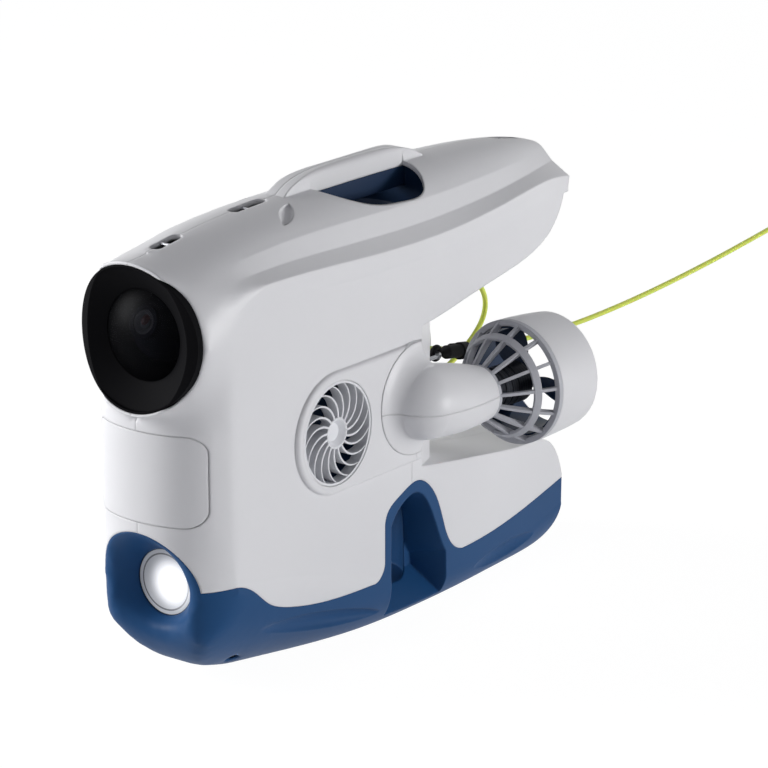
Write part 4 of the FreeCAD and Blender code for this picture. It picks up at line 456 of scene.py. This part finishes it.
propeller_plastic = moulded("nylon_navy_moulded", "152C49", "11243D", 0.4, 0.25, 1.2, 0.6)
dress(propeller_plastic, "lateral_propeller", "vertical_propeller", "port_propeller",
      "starboard_propeller")


# ---------------------------------------------------------------- guards and grilles
# Glass-filled nylon with a matt skin: light grey guards, and the side grilles' vanes in a paler tone,
# painted light for the edge light the vanes catch while they sit in shade.
guard_nylon = moulded("nylon_grey_moulded", "C4C5CB", "B8B9C0", 0.5, 0.4, 1.2, 0.8)
dress(guard_nylon, "port_guard", "starboard_guard")
# Painted light: the grille's tone is paler than the guards' so the shaded vanes read as edge-lit.
grille_painted_light_nylon = moulded("nylon_pale_painted_light", "F0F1F4", "E8E9ED", 0.45, 0.4, 1.2, 0.8)
dress(grille_painted_light_nylon, "port_grille", "starboard_grille")


# ---------------------------------------------------------------- camera hood
# A matt black funnel of ABS round the dome, textured to kill reflections.
hood_plastic = moulded("abs_black_textured", "0E0E11", "0A0A0C", 0.7, 0.04, 1.2, 0.8)
dress(hood_plastic, "camera_hood")


# ---------------------------------------------------------------- dome window
# A smoked cast acrylic dome with its flange behind the hood. DOME_CLEAR of the light goes
# straight through, and the rest is scattered by the coating.
DOME_CLEAR = 0.92
dome_acrylic, dome_tree, dome_shader = new_finish("acrylic_cast_polished", Roughness=0.45, IOR=1.49)
dome_tint = add(dome_tree, "ShaderNodeTexNoise",
                {"Vector": add(dome_tree, "ShaderNodeTexCoord").outputs["Object"], "Scale": 20.0})
dome_tone = two_tones(dome_tree, dome_tint.outputs["Fac"], "303136", "37383E")
dome_tree.links.new(dome_tone, dome_shader.inputs["Base Color"])
dome_clear = add(dome_tree, "ShaderNodeBsdfTransparent", {"Color": hex_colour("B4B6BC")})
dome_both = add(dome_tree, "ShaderNodeMixShader", {0: DOME_CLEAR, 1: dome_shader.outputs[0],
                                                   2: dome_clear.outputs[0]})
dome_tree.links.new(dome_both.outputs[0], dome_tree.nodes["Material Output"].inputs["Surface"])
dress(dome_acrylic, "dome_window")


# ---------------------------------------------------------------- camera
# The tilting pod in dark anodised aluminium with its front glass, red-brown in the middle with
# a grey ring round it from LENS_RING, in metres, outwards.
LENS_Z, LENS_RING = 0.281, (0.0032, 0.0038)
pod_alloy = moulded("aluminium_black_anodised", "45454C", "3C3C43", 0.7, 0.06, 6.0, 0.6)
dress(pod_alloy, "camera_pod", "camera_cradle", "tilt_servo")
lens_glass, lens_tree, lens_shader = new_finish("optical_glass_coated", Roughness=0.03, IOR=1.52,
                                                Coat_Weight=0.6)
lens_place = add(lens_tree, "ShaderNodeTexCoord").outputs["Object"]


def off_axis_of(tree, place, x, z):
    """The distance of a place from the line along Y through x and z."""
    off = add(tree, "ShaderNodeVectorMath", {0: place, 1: (-x, 0.0, -z)}, operation="ADD")
    flat = add(tree, "ShaderNodeVectorMath", {0: off.outputs[0], 1: (1.0, 0.0, 1.0)},
               operation="MULTIPLY")
    return add(tree, "ShaderNodeVectorMath", {0: flat.outputs[0]}, operation="LENGTH").outputs["Value"]


lens_zone = add(lens_tree, "ShaderNodeMapRange",
                {"Value": off_axis_of(lens_tree, lens_place, 0.0, LENS_Z),
                 "From Min": LENS_RING[0], "From Max": LENS_RING[1]})
lens_tone = two_tones(lens_tree, lens_zone.outputs[0], "8E4A38", "9A958F")
lens_tree.links.new(lens_tone, lens_shader.inputs["Base Color"])
dress(lens_glass, "camera_lens")


# ---------------------------------------------------------------- pressure housings
# Turned aluminium, hard anodised: the electronics tube, the battery can and their caps.
housing_alloy, housing_tree, housing_shader = new_finish("aluminium_turned_anodised", Metallic=0.85,
                                                         Roughness=0.38)
housing_place = add(housing_tree, "ShaderNodeTexCoord").outputs["Object"]
housing_lines = add(housing_tree, "ShaderNodeTexWave", {"Vector": housing_place, "Scale": 120.0,
                                                        "Distortion": 0.6}, bands_direction="Y")
housing_tone = two_tones(housing_tree, housing_lines.outputs["Fac"], "3C3E44", "4A4D54")
housing_tree.links.new(housing_tone, housing_shader.inputs["Base Color"])
dress(housing_alloy, "electronics_tube", "tube_rear_cap", "battery_can", "battery_cap", "lateral_motor",
      "lateral_motor_mount", "vertical_motor", "vertical_motor_mount", "port_motor", "starboard_motor",
      "lamp_body")


# ---------------------------------------------------------------- steel fittings
# Bead-blasted stainless steel: screws, pins, ballast, the tow eye, the hook and its gate.
fitting_steel, fitting_tree, fitting_shader = new_finish("stainless_steel_blasted", Metallic=1.0,
                                                         Roughness=0.32)
fitting_place = add(fitting_tree, "ShaderNodeTexCoord").outputs["Object"]
fitting_grain = add(fitting_tree, "ShaderNodeTexNoise",
                    {"Vector": fitting_place, "Scale": 900.0, "Detail": 2.0})
fitting_tone = two_tones(fitting_tree, fitting_grain.outputs["Fac"], "9B9DA3", "B4B6BB")
fitting_tree.links.new(fitting_tone, fitting_shader.inputs["Base Color"])
dress(fitting_steel, "tube_cap_bolts", "lamp_screws", "keel_screws", "lift_pins", "ballast_bars",
      "tow_eye", "snap_hook", "hook_gate")


# ---------------------------------------------------------------- ballast bars
# Cut steel bars in the keel's two trays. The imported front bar's lower front corners come out
# through the keel's skin at the chin, so everything ahead of BALLAST_FRONT is drawn back here by
# BALLAST_BACK, to where the keel covers it.
BALLAST_FRONT, BALLAST_BACK = -0.16, 0.022
ballast_mesh = nodes["ballast_bars"].data.copy()
ballast_points = read_rows(ballast_mesh.vertices, "co", 3)
ballast_points[:, 1] += np.where(ballast_points[:, 1] < BALLAST_FRONT, BALLAST_BACK, 0.0)
ballast_mesh.vertices.foreach_set("co", ballast_points.ravel())
ballast = placed("ballast_trimmed", ballast_mesh)
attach(ballast, "hull")
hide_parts("ballast_bars")


# ---------------------------------------------------------------- brass inserts
# Turned brass, moulded into the keel.
insert_brass, insert_tree, insert_shader = new_finish("brass_turned", Metallic=1.0, Roughness=0.3)
insert_place = add(insert_tree, "ShaderNodeTexCoord").outputs["Object"]
insert_lines = add(insert_tree, "ShaderNodeTexWave", {"Vector": insert_place, "Scale": 300.0},
                   bands_direction="Z")
insert_tone = two_tones(insert_tree, insert_lines.outputs["Fac"], "A98A4A", "C2A25E")
insert_tree.links.new(insert_tone, insert_shader.inputs["Base Color"])
dress(insert_brass, "accessory_inserts")


# ---------------------------------------------------------------- lamp
# A frosted polycarbonate lens over a bright reflector, alight. The glow fades from GLOW_REACH[0]
# to GLOW_REACH[1] round a point GLOW_X off the axis, and a dark groove runs round near the rim.
LAMP_AXIS_Z, GLOW_X, GLOW_REACH = 0.0795, 0.006, (0.006, 0.023)
GROOVE_RADIUS, GROOVE_HALF = 0.0212, 0.0006
lens_poly, lamp_tree, lamp_shader = new_finish("polycarbonate_frosted", Roughness=0.3, IOR=1.58)
lamp_place = add(lamp_tree, "ShaderNodeTexCoord").outputs["Object"]
lamp_glow = add(lamp_tree, "ShaderNodeMapRange",
                {"Value": off_axis_of(lamp_tree, lamp_place, GLOW_X, LAMP_AXIS_Z),
                 "From Min": GLOW_REACH[0], "From Max": GLOW_REACH[1],
                 "To Min": 1.0, "To Max": 0.0}, interpolation_type="SMOOTHSTEP")
lamp_groove = add(lamp_tree, "ShaderNodeMath",
                  {0: off_axis_of(lamp_tree, lamp_place, 0.0, LAMP_AXIS_Z), 1: GROOVE_RADIUS,
                   2: GROOVE_HALF}, operation="COMPARE")
lamp_tone = two_tones(lamp_tree, lamp_groove.outputs[0], "D2D4D8", "6C6E74")
lamp_tree.links.new(lamp_tone, lamp_shader.inputs["Base Color"])
lamp_shader.inputs["Emission Color"].default_value = hex_colour("FAFBFF")
lamp_tree.links.new(lamp_glow.outputs[0], lamp_shader.inputs["Emission Strength"])
dress(lens_poly, "lamp_lens")
bright_metal = moulded("aluminium_spun_polished", "D9DADE", "CDCED3", 0.2, 0.5, 1.2, 0.5)
dress(bright_metal, "lamp_reflector")


# ---------------------------------------------------------------- boards
# Epoxy glass boards under a green solder mask.
board_epoxy = moulded("epoxy_glass_masked", "1F6B3A", "195C31", 0.35, 0.4, 1.2, 0.4)
dress(board_epoxy, "electronics_boards", "light_board")


# ---------------------------------------------------------------- buoyancy foam
# Syntactic foam, cast and sanded, in the upper fin.
float_foam = moulded("syntactic_foam_sanded", "D8CFA8", "C7BE97", 0.8, 0.3, 2.0, 1.0)
dress(float_foam, "buoyancy_foam")


# ---------------------------------------------------------------- rope grip
# Black polyester braid with an eye spliced round the hook, and two moulded bands.
rope_polyester = moulded("polyester_braided", "232326", "151517", 0.8, 0.2, 2.0, 0.6)
dress(rope_polyester, "braided_grip", "grip_clamps")
gland_nylon = moulded("nylon_black_moulded", "232427", "1A1B1E", 0.5, 0.3, 1.2, 0.5)
dress(gland_nylon, "tether_gland")
